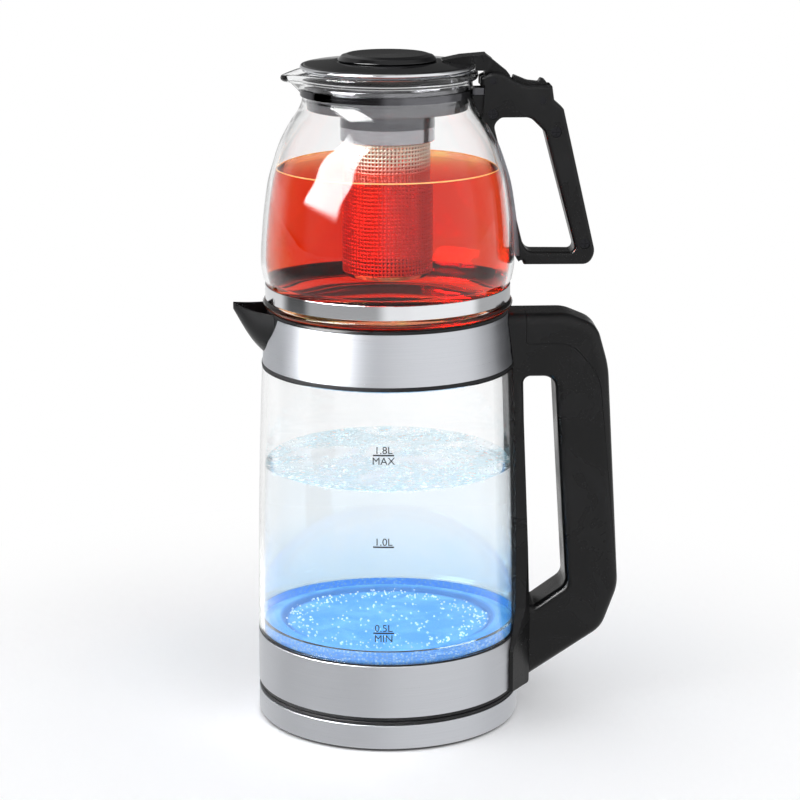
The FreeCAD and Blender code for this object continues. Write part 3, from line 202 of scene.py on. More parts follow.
def look_directions(tree):
    """Directions of a ray in degrees: azimuth is atan2(x, -y), so it is 0 on the side that faces the
    camera and grows towards the handles, and elevation is asin(z). Leaning moves with both."""
    parts = add(tree, "SeparateXYZ", {"Vector": add(tree, "TexCoord").outputs["Generated"]}).outputs
    turn = math_node(tree, "ARCTAN2", parts["X"], math_node(tree, "MULTIPLY", parts["Y"], -1.0))
    azimuth = math_node(tree, "MULTIPLY", turn, 180 / math.pi)
    elevation = math_node(tree, "MULTIPLY", math_node(tree, "ARCSINE", parts["Z"]), 180 / math.pi)
    leaning = math_node(tree, "MULTIPLY_ADD", elevation, -WINDOW_LEAN, azimuth)
    either_side = math_node(tree, "ABSOLUTE", azimuth)
    return {"azimuth": azimuth, "elevation": elevation, "leaning": leaning, "either side": either_side}


def studio_pattern(tree):
    """Brightness by direction: the wall's grey plus what each patch adds times its one or two
    windows. It gives way to the ground's grey below the room."""
    look = look_directions(tree)
    total = WALL_GREY
    for amount, direction, across, upright in ROOM.values():
        share = window(tree, look[direction], *across) if across else 1.0
        if upright:
            share = math_node(tree, "MULTIPLY", share, window(tree, look["elevation"], *upright))
        total = math_node(tree, "MULTIPLY_ADD", share, amount, total)
    ground = ramp(tree, look["elevation"], *GROUND_LIMITS, GROUND_SHARE, 0.0)
    even = math_node(tree, "SUBTRACT", GROUND_GREY, total)
    return math_node(tree, "MULTIPLY_ADD", even, ground, total)


print("studio patches:", ", ".join(ROOM))

# %% [markdown]
# ## The sky
#
# The background is plain white, but a white room would wash every reflection out.
# One picture round the scene would have to choose between the two. A shader can
# ask instead what kind of ray is looking and what it met before. A camera ray sees
# white, and so does a ray that only passed through glass. A ray that met a mirror
# on its way sees the studio. A ray that only gathers light sees an even soft grey.

# %% Sky
SKY_LIGHT = 0.80                # even light on the object


def make_sky():
    """The world: white for camera rays, the studio for mirror rays, soft grey for light."""
    world = bpy.data.worlds.new("studio")
    bpy.context.scene.world = world
    world.use_nodes = True
    tree = world.node_tree
    tree.nodes.clear()
    path = add(tree, "LightPath").outputs
    bounced = math_node(tree, "GREATER_THAN", path["Glossy Depth"], 0.5)
    scattered = math_node(tree, "GREATER_THAN", path["Diffuse Depth"], 0.5)
    straight = math_node(tree, "SUBTRACT", path["Is Transmission Ray"],
                         math_node(tree, "MAXIMUM", bounced, scattered), clamp=True)
    seen = math_node(tree, "MAXIMUM", path["Is Camera Ray"], straight)
    light = add(tree, "Background", {"Color": (0.97, 0.98, 1.0, 1), "Strength": SKY_LIGHT})
    studio = add(tree, "Background", {"Color": (1, 1, 1, 1), "Strength": studio_pattern(tree)})
    white = add(tree, "Background", {"Color": (1, 1, 1, 1), "Strength": 1.0})
    mirror = add(tree, "MixShader", {0: bounced, 1: light.outputs[0], 2: studio.outputs[0]})
    final = add(tree, "MixShader", {0: seen, 1: mirror.outputs[0], 2: white.outputs[0]})
    add(tree, "OutputWorld", {"Surface": final.outputs[0]})
    return world


world = make_sky()
print("sky nodes:", len(world.node_tree.nodes))

# %% [markdown]
# ## The floor
#
# The floor is a plain pale sheet that keeps the object's soft shadow. An endless
# one would show a horizon, so far from the object it turns into pure white. It is
# hidden from mirror rays, because the studio pattern already holds what the steel
# should show below its own height.

# %% Floor
FLOOR_Z = CAD_BOX[0].z
FLOOR_HALF = 4.0
SHADOW_REACH = (0.13, 0.42)     # the floor fades to white between these distances
FLOOR_COLOUR = (0.98, 0.98, 0.985, 1)


def make_floor():
    """A flat sheet whose colour fades to white with the distance from the axis."""
    corners = [(x * FLOOR_HALF, y * FLOOR_HALF, FLOOR_Z) for x, y in ((-1, -1), (1, -1), (1, 1), (-1, 1))]
    mesh = bpy.data.meshes.new("floor")
    mesh.from_pydata(corners, [], [(0, 1, 2, 3)])
    floor = bpy.data.objects.new("floor", mesh)
    bpy.context.scene.collection.objects.link(floor)
    material = bpy.data.materials.new("pale_floor")
    material.use_nodes = True
    tree = material.node_tree
    shader = tree.nodes["Principled BSDF"]
    shader.inputs["Base Color"].default_value = FLOOR_COLOUR
    shader.inputs["Roughness"].default_value = 0.85
    shader.inputs["Specular IOR Level"].default_value = 0.1
    place = add(tree, "TexCoord").outputs["Object"]
    reach = add(tree, "VectorMath", {0: place}, operation="LENGTH").outputs["Value"]
    white = add(tree, "Emission", {"Color": (1, 1, 1, 1), "Strength": 1.0})
    path = add(tree, "LightPath").outputs
    seen = math_node(tree, "MAXIMUM", path["Is Camera Ray"], path["Is Transmission Ray"])
    share = math_node(tree, "MULTIPLY", ramp(tree, reach, *SHADOW_REACH), seen)
    mix = add(tree, "MixShader", {0: share, 1: shader.outputs[0], 2: white.outputs[0]})
    tree.links.new(mix.outputs[0], tree.nodes["Material Output"].inputs["Surface"])
    floor.data.materials.append(material)
    floor.visible_glossy = False
    return floor


floor = make_floor()
print("floor at", round(FLOOR_Z, 4))

# %% [markdown]
# ## Lamps
#
# The sky alone lights every side alike, which makes black plastic look flat. A sun
# would draw a hard shadow that the photograph doesn't have. Two large square lamps
# give the light a direction and keep the shadow soft. Mirrors and glass don't show
# them, because the studio pattern holds every reflection.

# %% Lamps
LAMPS = [("lamp_right", (1.1, -1.3, 1.5), 1.2, 13.0),       # name, place, size, power
         ("lamp_left", (-1.5, -0.7, 1.1), 1.0, 5.0)]


def make_lamp(name, place, size, power):
    """A square soft lamp that looks at the middle of the object."""
    lamp = bpy.data.lights.new(name, "AREA")
    lamp.shape, lamp.size, lamp.energy = "SQUARE", size, power
    holder = bpy.data.objects.new(name, lamp)
    bpy.context.scene.collection.objects.link(holder)
    middle = (CAD_BOX[0] + CAD_BOX[1]) / 2
    holder.location = place
    holder.rotation_euler = (middle - holder.location).to_track_quat("-Z", "Y").to_euler()
    holder.visible_glossy = False
    holder.visible_transmission = False
    return holder


lamps = [make_lamp(*lamp) for lamp in LAMPS]
bpy.context.scene.view_settings.view_transform = "Standard"
print("lamps:", [lamp.name for lamp in lamps])

# %% [markdown]
# ## Effects that several finishes share
#
# Turned steel, plates and screw heads all carry fine lines that run round the
# axis. The lines could be painted along each piece, but they all come from the
# same motion, so one group makes them: it looks at the angle, the radius and the
# height of a point, and lets noise change slowly with the angle and fast with the
# other two. Moulded plastic has a fine even grain, and everything that is touched
# has large faint smudges. These are groups of their own, and each puts out one
# value between 0 and 1.

# %% Effect groups
def new_group(name, takes, gives):
    """An empty node group with named number inputs, a Vector input and named number outputs."""
    group = bpy.data.node_groups.new(name, "ShaderNodeTree")
    group.interface.new_socket(name="Vector", in_out="INPUT", socket_type="NodeSocketVector")
    for socket_name, value in takes.items():
        socket = group.interface.new_socket(name=socket_name, in_out="INPUT", socket_type="NodeSocketFloat")
        socket.default_value = value
    for socket_name in gives:
        group.interface.new_socket(name=socket_name, in_out="OUTPUT", socket_type="NodeSocketFloat")
    return group, group.nodes.new("NodeGroupInput").outputs, group.nodes.new("NodeGroupOutput").inputs


def make_turned_lines():
    """Noise that changes slowly round the axis and fast along the radius and the height."""
    group, takes, gives = new_group("turned_lines", {"Lines": 2600.0, "Length": 2.0}, ["Streak"])
    parts = add(group, "SeparateXYZ", {"Vector": takes["Vector"]}).outputs
    angle = math_node(group, "ARCTAN2", parts["Y"], parts["X"])
    squares = math_node(group, "MULTIPLY_ADD", parts["X"], parts["X"],
                        math_node(group, "MULTIPLY", parts["Y"], parts["Y"]))
    radius = math_node(group, "SQRT", squares)
    place = add(group, "CombineXYZ", {
        "X": math_node(group, "MULTIPLY", angle, takes["Length"]),
        "Y": math_node(group, "MULTIPLY", radius, takes["Lines"]),
        "Z": math_node(group, "MULTIPLY", parts["Z"], takes["Lines"])}).outputs[0]
    noise = add(group, "TexNoise", {"Vector": place, "Scale": 1.0, "Detail": 3.0, "Roughness": 0.7})
    feed(group, gives["Streak"], noise.outputs[0])
    return group


def make_moulded_grain():
    """The fine even pebble of a moulded surface: cells softened by noise."""
    group, takes, gives = new_group("moulded_grain", {"Scale": 2400.0}, ["Grain"])
    cells = add(group, "TexVoronoi", {"Vector": takes["Vector"], "Scale": takes["Scale"]},
                feature="SMOOTH_F1")
    noise = add(group, "TexNoise", {"Vector": takes["Vector"], "Scale": takes["Scale"], "Detail": 2.0})
    feed(group, gives["Grain"], math_node(group, "MULTIPLY", cells.outputs["Distance"], noise.outputs[0]))
    return group


def make_smudges():
    """Large faint patches, as left by hands and wiping."""
    group, takes, gives = new_group("smudges", {"Scale": 28.0}, ["Smudge"])
    noise = add(group, "TexNoise", {"Vector": takes["Vector"], "Scale": takes["Scale"], "Detail": 4.0,
                                    "Roughness": 0.55, "Distortion": 0.6})
    feed(group, gives["Smudge"], ramp(group, noise.outputs[0], 0.35, 0.70))
    return group


EFFECTS = {"lines": make_turned_lines(), "grain": make_moulded_grain(), "smudges": make_smudges()}
print("effect groups:", sorted(EFFECTS))

# %% [markdown]
# ## What a finish is made of
#
# Each finish starts from one Principled shader. A single colour would look like
# a toy, so every finish lets an effect move its colour a little, its roughness
# more, and its surface by a few hundredths of a millimetre. What stays the same
# over the whole piece, such as how metallic it is, is set on the shader itself.
# Object coordinates are used throughout, because every piece keeps its place in
# its mesh: x and y are nought on the axis, and z is the height.

# %% Finish helpers
def place_of(tree):
    """The point's Object coordinates."""
    return add(tree, "TexCoord").outputs["Object"]


def height_of(tree):
    """The point's height, from Object coordinates."""
    return add(tree, "SeparateXYZ", {"Vector": place_of(tree)}).outputs["Z"]


def radius_of(tree):
    """The point's distance from the axis, from Object coordinates."""
    flat = add(tree, "VectorMath", {0: place_of(tree), 1: (1, 1, 0)}, operation="MULTIPLY").outputs[0]
    return add(tree, "VectorMath", {0: flat}, operation="LENGTH").outputs["Value"]


def effect(tree, name, **values):
    """Places an effect group in a material, on the piece's own Object coordinates."""
    node = tree.nodes.new("ShaderNodeGroup")
    node.node_tree = EFFECTS[name]
    feed(tree, node.inputs["Vector"], place_of(tree))
    for socket_name, value in values.items():
        node.inputs[socket_name].default_value = value
    return node.outputs[0]


def start_material(name, **constants):
    """A new material and its Principled shader, with its constant values set."""
    material = bpy.data.materials.new(name)
    material.use_nodes = True
    shader = material.node_tree.nodes["Principled BSDF"]
    for socket_name, value in constants.items():
        shader.inputs[socket_name.replace("_", " ")].default_value = value
    return material, material.node_tree, shader


def finish_with(tree, shader, mask, colours, roughness, bump_mask, depth):
    """Colour and roughness follow mask between two ends, and bump_mask lifts the surface by
    depth metres."""
    feed(tree, shader.inputs["Base Color"], blend_colours(tree, mask, (*colours[0], 1), (*colours[1], 1)))
    feed(tree, shader.inputs["Roughness"], ramp(tree, mask, 0.0, 1.0, *roughness))
    bump = add(tree, "Bump", {"Height": bump_mask, "Strength": 1.0, "Distance": depth})
    feed(tree, shader.inputs["Normal"], bump.outputs[0])


print("finish helpers ready")

# %% [markdown]
# ## Plastics and metals
#
# The housings are moulded plastic, and the bands, rings and screws are turned or
# rolled metal. Each could be a material of its own, wired by hand, but the pieces
# differ in numbers only. So there is one maker for plastic, one for metal with
# lines round its axis, and one for steel whose colours change at a height. The
# infuser needs the last one, and both of its uses carry painted light: its cup is
# darker above a seam, a painted reflection of the black lid above it, and its
# basket is warm grey above the tea and deep red below, a painted tint of the light
# that comes through the tea.

# %% Makers of plastics and metals
def make_plastic(name, dark, light, roughness, grain_scale, depth, gloss=0.5, coat=0.0):
    """Moulded plastic: smudges move its colour and gloss, grain its surface."""
    material, tree, shader = start_material(name, Specular_IOR_Level=gloss, Coat_Weight=coat,
                                            Coat_Roughness=0.05)
    finish_with(tree, shader, effect(tree, "smudges"), (dark, light), roughness,
                effect(tree, "grain", Scale=grain_scale), depth)
    return material


def make_steel(name, dark, light, roughness, lines, length, depth, anisotropy=0.0):
    """Metal with lines round its axis; the lines move its colour, gloss and surface."""
    material, tree, shader = start_material(name, Metallic=1.0, Anisotropic=anisotropy)
    streak = effect(tree, "lines", Lines=lines, Length=length)
    finish_with(tree, shader, streak, (dark, light), roughness, streak, depth)
    if anisotropy:
        tangent = add(tree, "Tangent", direction_type="RADIAL", axis="Z")
        feed(tree, shader.inputs["Tangent"], tangent.outputs[0])
    return material


def make_height_split_metal(name, metallic, low_colours, high_colours, roughness, seam):
    """Turned metal with one pair of colours below the seam and another above it."""
    material, tree, shader = start_material(name, Metallic=metallic)
    streak = effect(tree, "lines", Lines=1500.0, Length=3.0)
    low, high = (blend_colours(tree, streak, (*dark, 1), (*light, 1))
                 for dark, light in (low_colours, high_colours))
    above = ramp(tree, height_of(tree), *seam)
    feed(tree, shader.inputs["Base Color"], blend_colours(tree, above, low, high))
    feed(tree, shader.inputs["Roughness"], ramp(tree, streak, 0.0, 1.0, *roughness))
    return material


print("makers:", make_plastic.__name__, make_steel.__name__, make_height_split_metal.__name__)

# %% [markdown]
# ## The opaque finishes
#
# Here every opaque finish of the object gets its numbers: two colours between
# which it wanders, two ends of its roughness, how fine its grain or its lines are,
# and how deep. They could be set piece by piece, but one table keeps them side by
# side, so that blacks and steels can be compared. The kettle's bands are brushed,
# so their highlight is drawn out across the lines. The lid is glossy, the handles
# are satin, and the base's deck is dull.

# %% Opaque finishes
# Above this seam the cup and the neck strap are painted dark: a painted reflection of the black lid above
# them.
CUP_SEAM = 342.0 * MM           # where the infuser's cup changes from dark chrome to steel
TEA_TOP = 318.0 * MM

FINISHES = {
    "satin_black": make_plastic("satin_black", (0.0050, 0.0050, 0.0052), (0.009, 0.009, 0.0095),
                                (0.24, 0.38), 2600, 0.00003, gloss=0.22),
    "gloss_black": make_plastic("gloss_black", (0.004, 0.004, 0.0045), (0.007, 0.007, 0.008),
                                (0.05, 0.12), 900, 0.000004, gloss=0.35, coat=0.1),
    "soft_black": make_plastic("soft_black", (0.008, 0.008, 0.009), (0.017, 0.017, 0.018),
                               (0.48, 0.66), 1500, 0.00003, gloss=0.25),
    "pale_plastic": make_plastic("pale_plastic", (0.70, 0.70, 0.68), (0.80, 0.80, 0.78),
                                 (0.35, 0.50), 1800, 0.00003),
    # On the teapot handle's leg pad, this light grey is partly a painted highlight: it stands in for the
    # light caught along the leg.
    "grey_silicone": make_plastic("grey_silicone", (0.17, 0.18, 0.20), (0.26, 0.27, 0.30),
                                  (0.25, 0.42), 1200, 0.00002),
    "board_blue": make_plastic("board_blue", (0.01, 0.05, 0.16), (0.02, 0.08, 0.24),
                               (0.30, 0.45), 900, 0.00002),
    "brushed_steel": make_steel("brushed_steel", (0.50, 0.515, 0.55), (0.66, 0.675, 0.71),
                                (0.24, 0.40), 5200, 1.2, 0.000008, anisotropy=0.55),
    "polished_steel": make_steel("polished_steel", (0.66, 0.67, 0.69), (0.76, 0.77, 0.79),
                                 (0.05, 0.13), 1500, 3.0, 0.0000015),
    # Painted reflection: the dark colours above the seam stand in for the black lid mirrored in the cup and
    # the neck strap.
    "cup_chrome_painted_reflection": make_height_split_metal("cup_chrome_painted_reflection", 1.0, ((0.30, 0.30, 0.32), (0.46, 0.46, 0.48)),
                                 ((0.09, 0.09, 0.10), (0.16, 0.16, 0.17)), (0.08, 0.20),
                                 (CUP_SEAM - 0.2 * MM, CUP_SEAM + 0.2 * MM)),
    # Below the tea line the steel is painted deep red, a painted tint of the light that comes through the
    # tea.
    "basket_steel": make_height_split_metal("basket_steel", 0.55, ((0.62, 0.075, 0.05), (0.82, 0.14, 0.09)),
                                  ((0.60, 0.54, 0.44), (0.76, 0.70, 0.58)), (0.24, 0.40),
                                  (TEA_TOP - 1.0 * MM, TEA_TOP + 8.0 * MM)),
    # Painted reflection: the ring's dark colours stand in for the black lid mirrored in it.
    "ring_steel_painted_reflection": make_steel("ring_steel_painted_reflection", (0.15, 0.15, 0.16), (0.23, 0.23, 0.24),
                                (0.06, 0.14), 1500, 3.0, 0.0000015),
    "screw_steel": make_steel("screw_steel", (0.014, 0.014, 0.016), (0.040, 0.040, 0.044),
                              (0.30, 0.42), 3000, 8.0, 0.000006),
    "rolled_metal": make_steel("rolled_metal", (0.55, 0.56, 0.58), (0.70, 0.71, 0.73),
                               (0.30, 0.45), 2200, 5.0, 0.000006),
    "brass": make_steel("brass", (0.60, 0.44, 0.18), (0.74, 0.57, 0.27), (0.18, 0.30), 2400, 6.0, 0.000004),
}
print("opaque finishes:", len(FINISHES))

# %% [markdown]
# ## Glass
#
# Clear things need three ideas. The wall bends and mirrors light at its surface.
# Thick glass also swallows a little light, which is why its edges look grey. Last,
# rays that go to a lamp pass through glass as if it were thin air, or the inside
# would stay dark. The jug's wall bends light as real glass does. The pot's bends
# it less than that, which keeps dark bands away from the edge of the tea.

# %% Glass
def let_light_through(material, tint):
    """Rays to a lamp see a Transparent shader instead of the glass."""
    tree = material.node_tree
    shader = tree.nodes["Principled BSDF"]
    path = add(tree, "LightPath").outputs
    clear = add(tree, "BsdfTransparent", {"Color": (*tint, 1)})
    mix = add(tree, "MixShader", {0: path["Is Shadow Ray"], 1: shader.outputs[0], 2: clear.outputs[0]})
    feed(tree, tree.nodes["Material Output"].inputs["Surface"], mix.outputs[0])


def swallow(material, colour, density):
    """Light fades inside the piece: density per metre, least for the channels that colour keeps."""
    tree = material.node_tree
    fade = add(tree, "VolumeAbsorption", {"Color": (*colour, 1), "Density": density})
    feed(tree, tree.nodes["Material Output"].inputs["Volume"], fade.outputs[0])


def make_glass(name, ior, colour, density):
    """Clear wall with faint smudges in its gloss."""
    material, tree, shader = start_material(name, Transmission_Weight=1.0, IOR=ior)
    shader.inputs["Base Color"].default_value = (1, 1, 1, 1)
    feed(tree, shader.inputs["Roughness"], ramp(tree, effect(tree, "smudges"), 0.0, 1.0, 0.0, 0.012))
    let_light_through(material, (0.96, 0.97, 0.97))
    swallow(material, colour, density)
    return material


FINISHES["jug_glass"] = make_glass("jug_glass", 1.47, (0.55, 0.62, 0.66), 12.0)
FINISHES["pot_glass"] = make_glass("pot_glass", 1.33, (0.55, 0.60, 0.62), 14.0)
print("glass for the jug and the pot")

# %% [markdown]
# ## Tea and water
#
# Tea swallows blue and green light, which is why a deep cup is redder than a
# shallow one. It could be plain red glass, but then a thin layer would be as dark
# as the whole pot. So its colour comes from depth, and pale swirls show where it
# was just poured. The water swallows little, and its blue is painted light that
# stands in for the lamps under the plate: the tint grows towards the plate with a
# cloudy border.

# %% Tea and water
SWIRL_LIMITS = (262 * MM, 300 * MM)          # the swirls fade between these heights
TINT_LIMITS = (40 * MM, 96 * MM)             # the blue tint fades between these heights


def make_tea():
    """Tea: clear, red by depth, with slow orange swirls that are strongest near the bottom."""
    material, tree, shader = start_material("tea", Transmission_Weight=1.0, IOR=1.06, Roughness=0.0)
    bent = add(tree, "TexNoise", {"Vector": place_of(tree), "Scale": 16.0, "Detail": 2.0,
                                  "Distortion": 1.6})
    swirl = ramp(tree, bent.outputs[0], 0.50, 0.66)
    share = math_node(tree, "MULTIPLY", swirl, ramp(tree, height_of(tree), *SWIRL_LIMITS, 0.9, 0.45))
    feed(tree, shader.inputs["Base Color"], blend_colours(tree, share, (0.98, 0.40, 0.22, 1),
                                                          (1.0, 0.80, 0.24, 1)))
    let_light_through(material, (0.9, 0.35, 0.15))
    swallow(material, (0.93, 0.28, 0.02), 34.0)
    return material


def make_water():
    """Water with painted blue light from below: the tint grows towards the heating plate."""
    material, tree, shader = start_material("water", Transmission_Weight=1.0, IOR=1.05, Roughness=0.0)
    cloud = add(tree, "TexNoise", {"Vector": place_of(tree), "Scale": 22.0, "Detail": 5.0,
                                   "Distortion": 0.8})
    cloudy_height = math_node(tree, "MULTIPLY_ADD", cloud.outputs[0], -0.03, height_of(tree))
    # Painted light: the water's colour turns blue towards the plate, for the lamps under it.
    share = ramp(tree, cloudy_height, *TINT_LIMITS, 1.0, 0.0)
    feed(tree, shader.inputs["Base Color"], blend_colours(tree, share, (0.97, 0.99, 1.0, 1),
                                                          (0.56, 0.82, 1.0, 1)))
    let_light_through(material, (0.90, 0.96, 1.0))
    swallow(material, (0.10, 0.62, 0.98), 0.7)
    return material


FINISHES["tea"] = make_tea()
FINISHES["water"] = make_water()
print("finishes so far:", len(FINISHES))

# %% [markdown]
# ## Blue light in the heater
#
# A ring of lamps sits under the heating plate and shines up into the water, so
# the whole dish glows blue. Real lamps there would be tiny and noisy to render.
# The dish glows a little instead, in uneven patches, and its steel is coloured blue
# too; both the glow and the blue colour are painted light. A darker blue ring of
# painted shade lies just inside its raised bead, as on the real one.

# %% Lit finishes
BEAD_RING = 61.0 * MM            # radius of the plate's raised bead


def make_lit_plate():
    """Turned steel with painted blue light: a blue base colour and a patchy blue glow, with a darker blue
    ring of painted shade inside the bead.
    """
    material, tree, shader = start_material("lit_plate", Metallic=0.15, Specular_IOR_Level=0.2,
                                            Emission_Strength=0.62)
    streak = effect(tree, "lines", Lines=1800.0, Length=2.0)
    # Painted blue light: the steel's own colour is set blue.
    finish_with(tree, shader, streak, ((0.10, 0.34, 0.62), (0.16, 0.44, 0.74)), (0.55, 0.72),
                streak, 0.000006)
    radius = radius_of(tree)
    # Painted shade: a ring of weaker glow just inside the bead.
    ring = window(tree, radius, BEAD_RING - 6.0 * MM, BEAD_RING - 2.0 * MM, 1.4 * MM)
    patch = effect(tree, "smudges", Scale=60.0)
    glow = blend_colours(tree, patch, (0.07, 0.36, 0.86, 1), (0.24, 0.62, 0.98, 1))
    feed(tree, shader.inputs["Emission Color"], blend_colours(tree, ring, glow, (0.0, 0.04, 0.34, 1)))
    return material


def make_lit_ring():
    """Clear ring full of small beads, lit blue from inside."""
    material, tree, shader = start_material("lit_ring", Transmission_Weight=0.35, IOR=1.40,
                                            Emission_Strength=0.35)
    # Painted light: the ring's blue glow stands in for the lamps below it, and the pale glowing spots of
    # small cells are painted sparkle on its beads.
    sparkle = add(tree, "TexVoronoi", {"Vector": place_of(tree), "Scale": 620.0})
    spot = ramp(tree, sparkle.outputs["Distance"], 0.12, 0.55)
    feed(tree, shader.inputs["Base Color"], blend_colours(tree, spot, (0.66, 0.84, 1.0, 1),
                                                          (0.10, 0.32, 0.72, 1)))
    feed(tree, shader.inputs["Emission Color"], blend_colours(tree, spot, (0.30, 0.70, 1.0, 1),
                                                              (0.03, 0.26, 0.60, 1)))
    feed(tree, shader.inputs["Roughness"], ramp(tree, spot, 0.0, 1.0, 0.12, 0.30))
    return material


FINISHES["lit_plate"] = make_lit_plate()
FINISHES["lit_ring"] = make_lit_ring()
print("finishes:", len(FINISHES))

# %% [markdown]
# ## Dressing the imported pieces
#
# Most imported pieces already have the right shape, so they only change their
# finish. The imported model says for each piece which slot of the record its
# finish comes from. A dictionary from slot to finish dresses them all at once,
# and a short second dictionary names the pieces that differ from their slot.

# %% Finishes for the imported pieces
SLOT_FINISH = {
    "black_plastic": "satin_black", "white_plastic": "pale_plastic", "brushed_steel": "brushed_steel",
    "polished_steel": "polished_steel", "perforated_steel": "polished_steel",
    "filter_mesh": "rolled_metal", "screw_steel": "screw_steel", "element_sheath": "rolled_metal",
    "aluminium_plate": "rolled_metal", "brass_contact": "brass", "black_rubber": "soft_black",
    "rubber_foot": "soft_black", "grey_silicone": "grey_silicone", "clear_glass": "jug_glass",
    "clear_acrylic": "lit_ring", "led_board": "board_blue",
}
NODE_FINISH = {
    "lid_shell": "gloss_black", "lid_knob": "gloss_black", "heating_plate": "lit_plate",
    "infuser_cup": "cup_chrome_painted_reflection", "neck_strap": "cup_chrome_painted_reflection", "base_deck": "soft_black",
    "kettle_base_shell": "soft_black",
}
for node_name, node in NODES.items():
    for place in node.material_slots:
        slot_name = place.material.name.split(".")[0]
        place.material = FINISHES[NODE_FINISH.get(node_name, SLOT_FINISH[slot_name])]
print("dressed", len(NODES), "packed pieces")

# %% [markdown]
# ## Surfaces from two parameters
#
# Nearly everything new is a body of revolution: a profile of radius and height
# that is carried round the axis. A Screw modifier could do that, but a grid of
# numbers can also be bent afterwards, as the teapot's beak needs. The grid has one
# row for each profile point and one column for each angle, and the faces join
# neighbouring points. Two more helpers make profiles: one rounds the corners of an
# outline, and one runs a smooth line through measured points.

# %% Grids and profiles
SEGMENTS = 192


def grid_faces(rows, columns, close_rows, close_columns):
    """Quads between neighbouring grid points; closing joins the last row or column to the first."""
    row = np.arange(rows if close_rows else rows - 1)
    column = np.arange(columns if close_columns else columns - 1)
    row, column = np.meshgrid(row, column, indexing="ij")
    below, beside = (row + 1) % rows, (column + 1) % columns
    corners = [row * columns + column, row * columns + beside,
               below * columns + beside, below * columns + column]
    return np.stack(corners, axis=-1).reshape(-1, 4)


def carry_round(profile, segments=SEGMENTS):
    """A profile of (radius, height) turned round the axis: x = r cos a, y = r sin a, z = height."""
    angle = np.linspace(0, 2 * np.pi, segments, endpoint=False)
    radius, height = profile[:, :1], profile[:, 1:]
    return np.stack([radius * np.cos(angle), radius * np.sin(angle), height + 0 * angle], axis=-1)


def soften(corners, radius):
    """A closed outline with each corner replaced by a small curve:
    p(t) = (1-t)^2 a + 2t(1-t) c + t^2 b, where a and b lie on the two sides at distance radius."""
    corners = np.asarray(corners, float)
    t = np.linspace(0, 1, 5)[None, :, None]
    sides = []
    for other in (np.roll(corners, 1, axis=0), np.roll(corners, -1, axis=0)):
        run = other - corners
        length = np.linalg.norm(run, axis=1, keepdims=True)
        sides.append(corners + run * np.minimum(radius / length, 0.45))
    a, c, b = sides[0][:, None], corners[:, None], sides[1][:, None]
    return ((1 - t) ** 2 * a + 2 * t * (1 - t) * c + t ** 2 * b).reshape(-1, 2)


def smooth_through(knots, steps=8):
    """A smooth line through knots: on each span a cubic whose slope at a knot is half the step
    from the knot before to the knot after."""
    knots = np.asarray(knots, float)
    ends = np.vstack([2 * knots[0] - knots[1], knots, 2 * knots[-1] - knots[-2]])
    p0, p1, p2, p3 = (ends[i:len(ends) - 3 + i, None] for i in range(4))
    t = np.linspace(0, 1, steps, endpoint=False)[None, :, None]
    line = 0.5 * (2 * p1 + (p2 - p0) * t + (2 * p0 - 5 * p1 + 4 * p2 - p3) * t ** 2
                  + (3 * p1 - p0 - 3 * p2 + p3) * t ** 3)
    return np.vstack([line.reshape(-1, 2), knots[-1:]])


print("columns round the axis:", SEGMENTS)

# %% [markdown]
# ## From arrays to a piece
#
# A piece of the scene is a mesh, its finish and the body that it rides on. These
# could be set for each piece by hand, but then one is soon forgotten. One function
# does it all. It merges points that fall together, which closes the poles, and
# turns the faces outwards.

# %% Making a piece
def make_piece(name, points, faces, body, finish, slot=None, replaces=(), sharp=38):
    """A mesh from arrays, with doubles merged and faces turned outwards, that rides on a body."""
    mesh = bpy.data.meshes.new(name)
    mesh.from_pydata(np.asarray(points).reshape(-1, 3).tolist(), [], np.asarray(faces).tolist())
    work = bmesh.new()
    work.from_mesh(mesh)
    bmesh.ops.remove_doubles(work, verts=work.verts, dist=1e-7)
    bmesh.ops.recalc_face_normals(work, faces=work.faces)
    work.to_mesh(mesh)
    work.free()
    mesh.shade_smooth()
    mesh.set_sharp_from_angle(angle=math.radians(sharp))
    piece = bpy.data.objects.new(name, mesh)
    bpy.context.scene.collection.objects.link(piece)
    mesh.materials.append(FINISHES[finish])
    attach(piece, body)
    if replaces:
        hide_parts(*replaces)
    print(f"{name}: {len(mesh.polygons)} faces on {body}")
    return piece


print("pieces are made by", make_piece.__name__)

# %% [markdown]
# ## The jug
#
# The kettle's jug is a tube of 3 mm glass that narrows towards its top in one
# long shallow curve. A cone could stand for it, but its reflections would be
# dead straight. A curve of second degree through the radii at the foot, the
# middle and the top gives the barrel shape. The profile is a closed loop: up this
# curve, over the lip, down the same curve one wall thickness further in, and
# round the foot.

# %% Jug glass
JUG_LOW, JUG_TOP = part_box("glass_jug")[0].z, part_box("glass_jug")[1].z
JUG_RADII = np.array([75.4, 74.3, 71.7]) * MM       # foot, middle, top
JUG_WALL = 3.0 * MM
JUG_EASE = (0.5 * MM, 0.4 * MM)                     # the edges are cut back this far, across and up


def jug_radius(height):
    """Outer radius of the jug at a height: the parabola through three radii."""
    knots = [JUG_LOW, (JUG_LOW + JUG_TOP) / 2, JUG_TOP]
    return np.polyval(np.polyfit(knots, JUG_RADII, 2), height)


def jug_profile():
    """A closed outline: up the outer curve, over the lip, down the same curve one wall further in,
    and round the foot."""
    across, up = JUG_EASE
    heights = np.linspace(JUG_LOW + up, JUG_TOP - up, 28)
    outside = np.column_stack([jug_radius(heights), heights])
    inside = outside[::-1] - [JUG_WALL, 0]
    lip, foot = ([(jug_radius(z) - across, z), (jug_radius(z) - JUG_WALL + across, z)]
                 for z in (JUG_TOP, JUG_LOW))
    return np.vstack([outside, lip, inside, foot[::-1]])


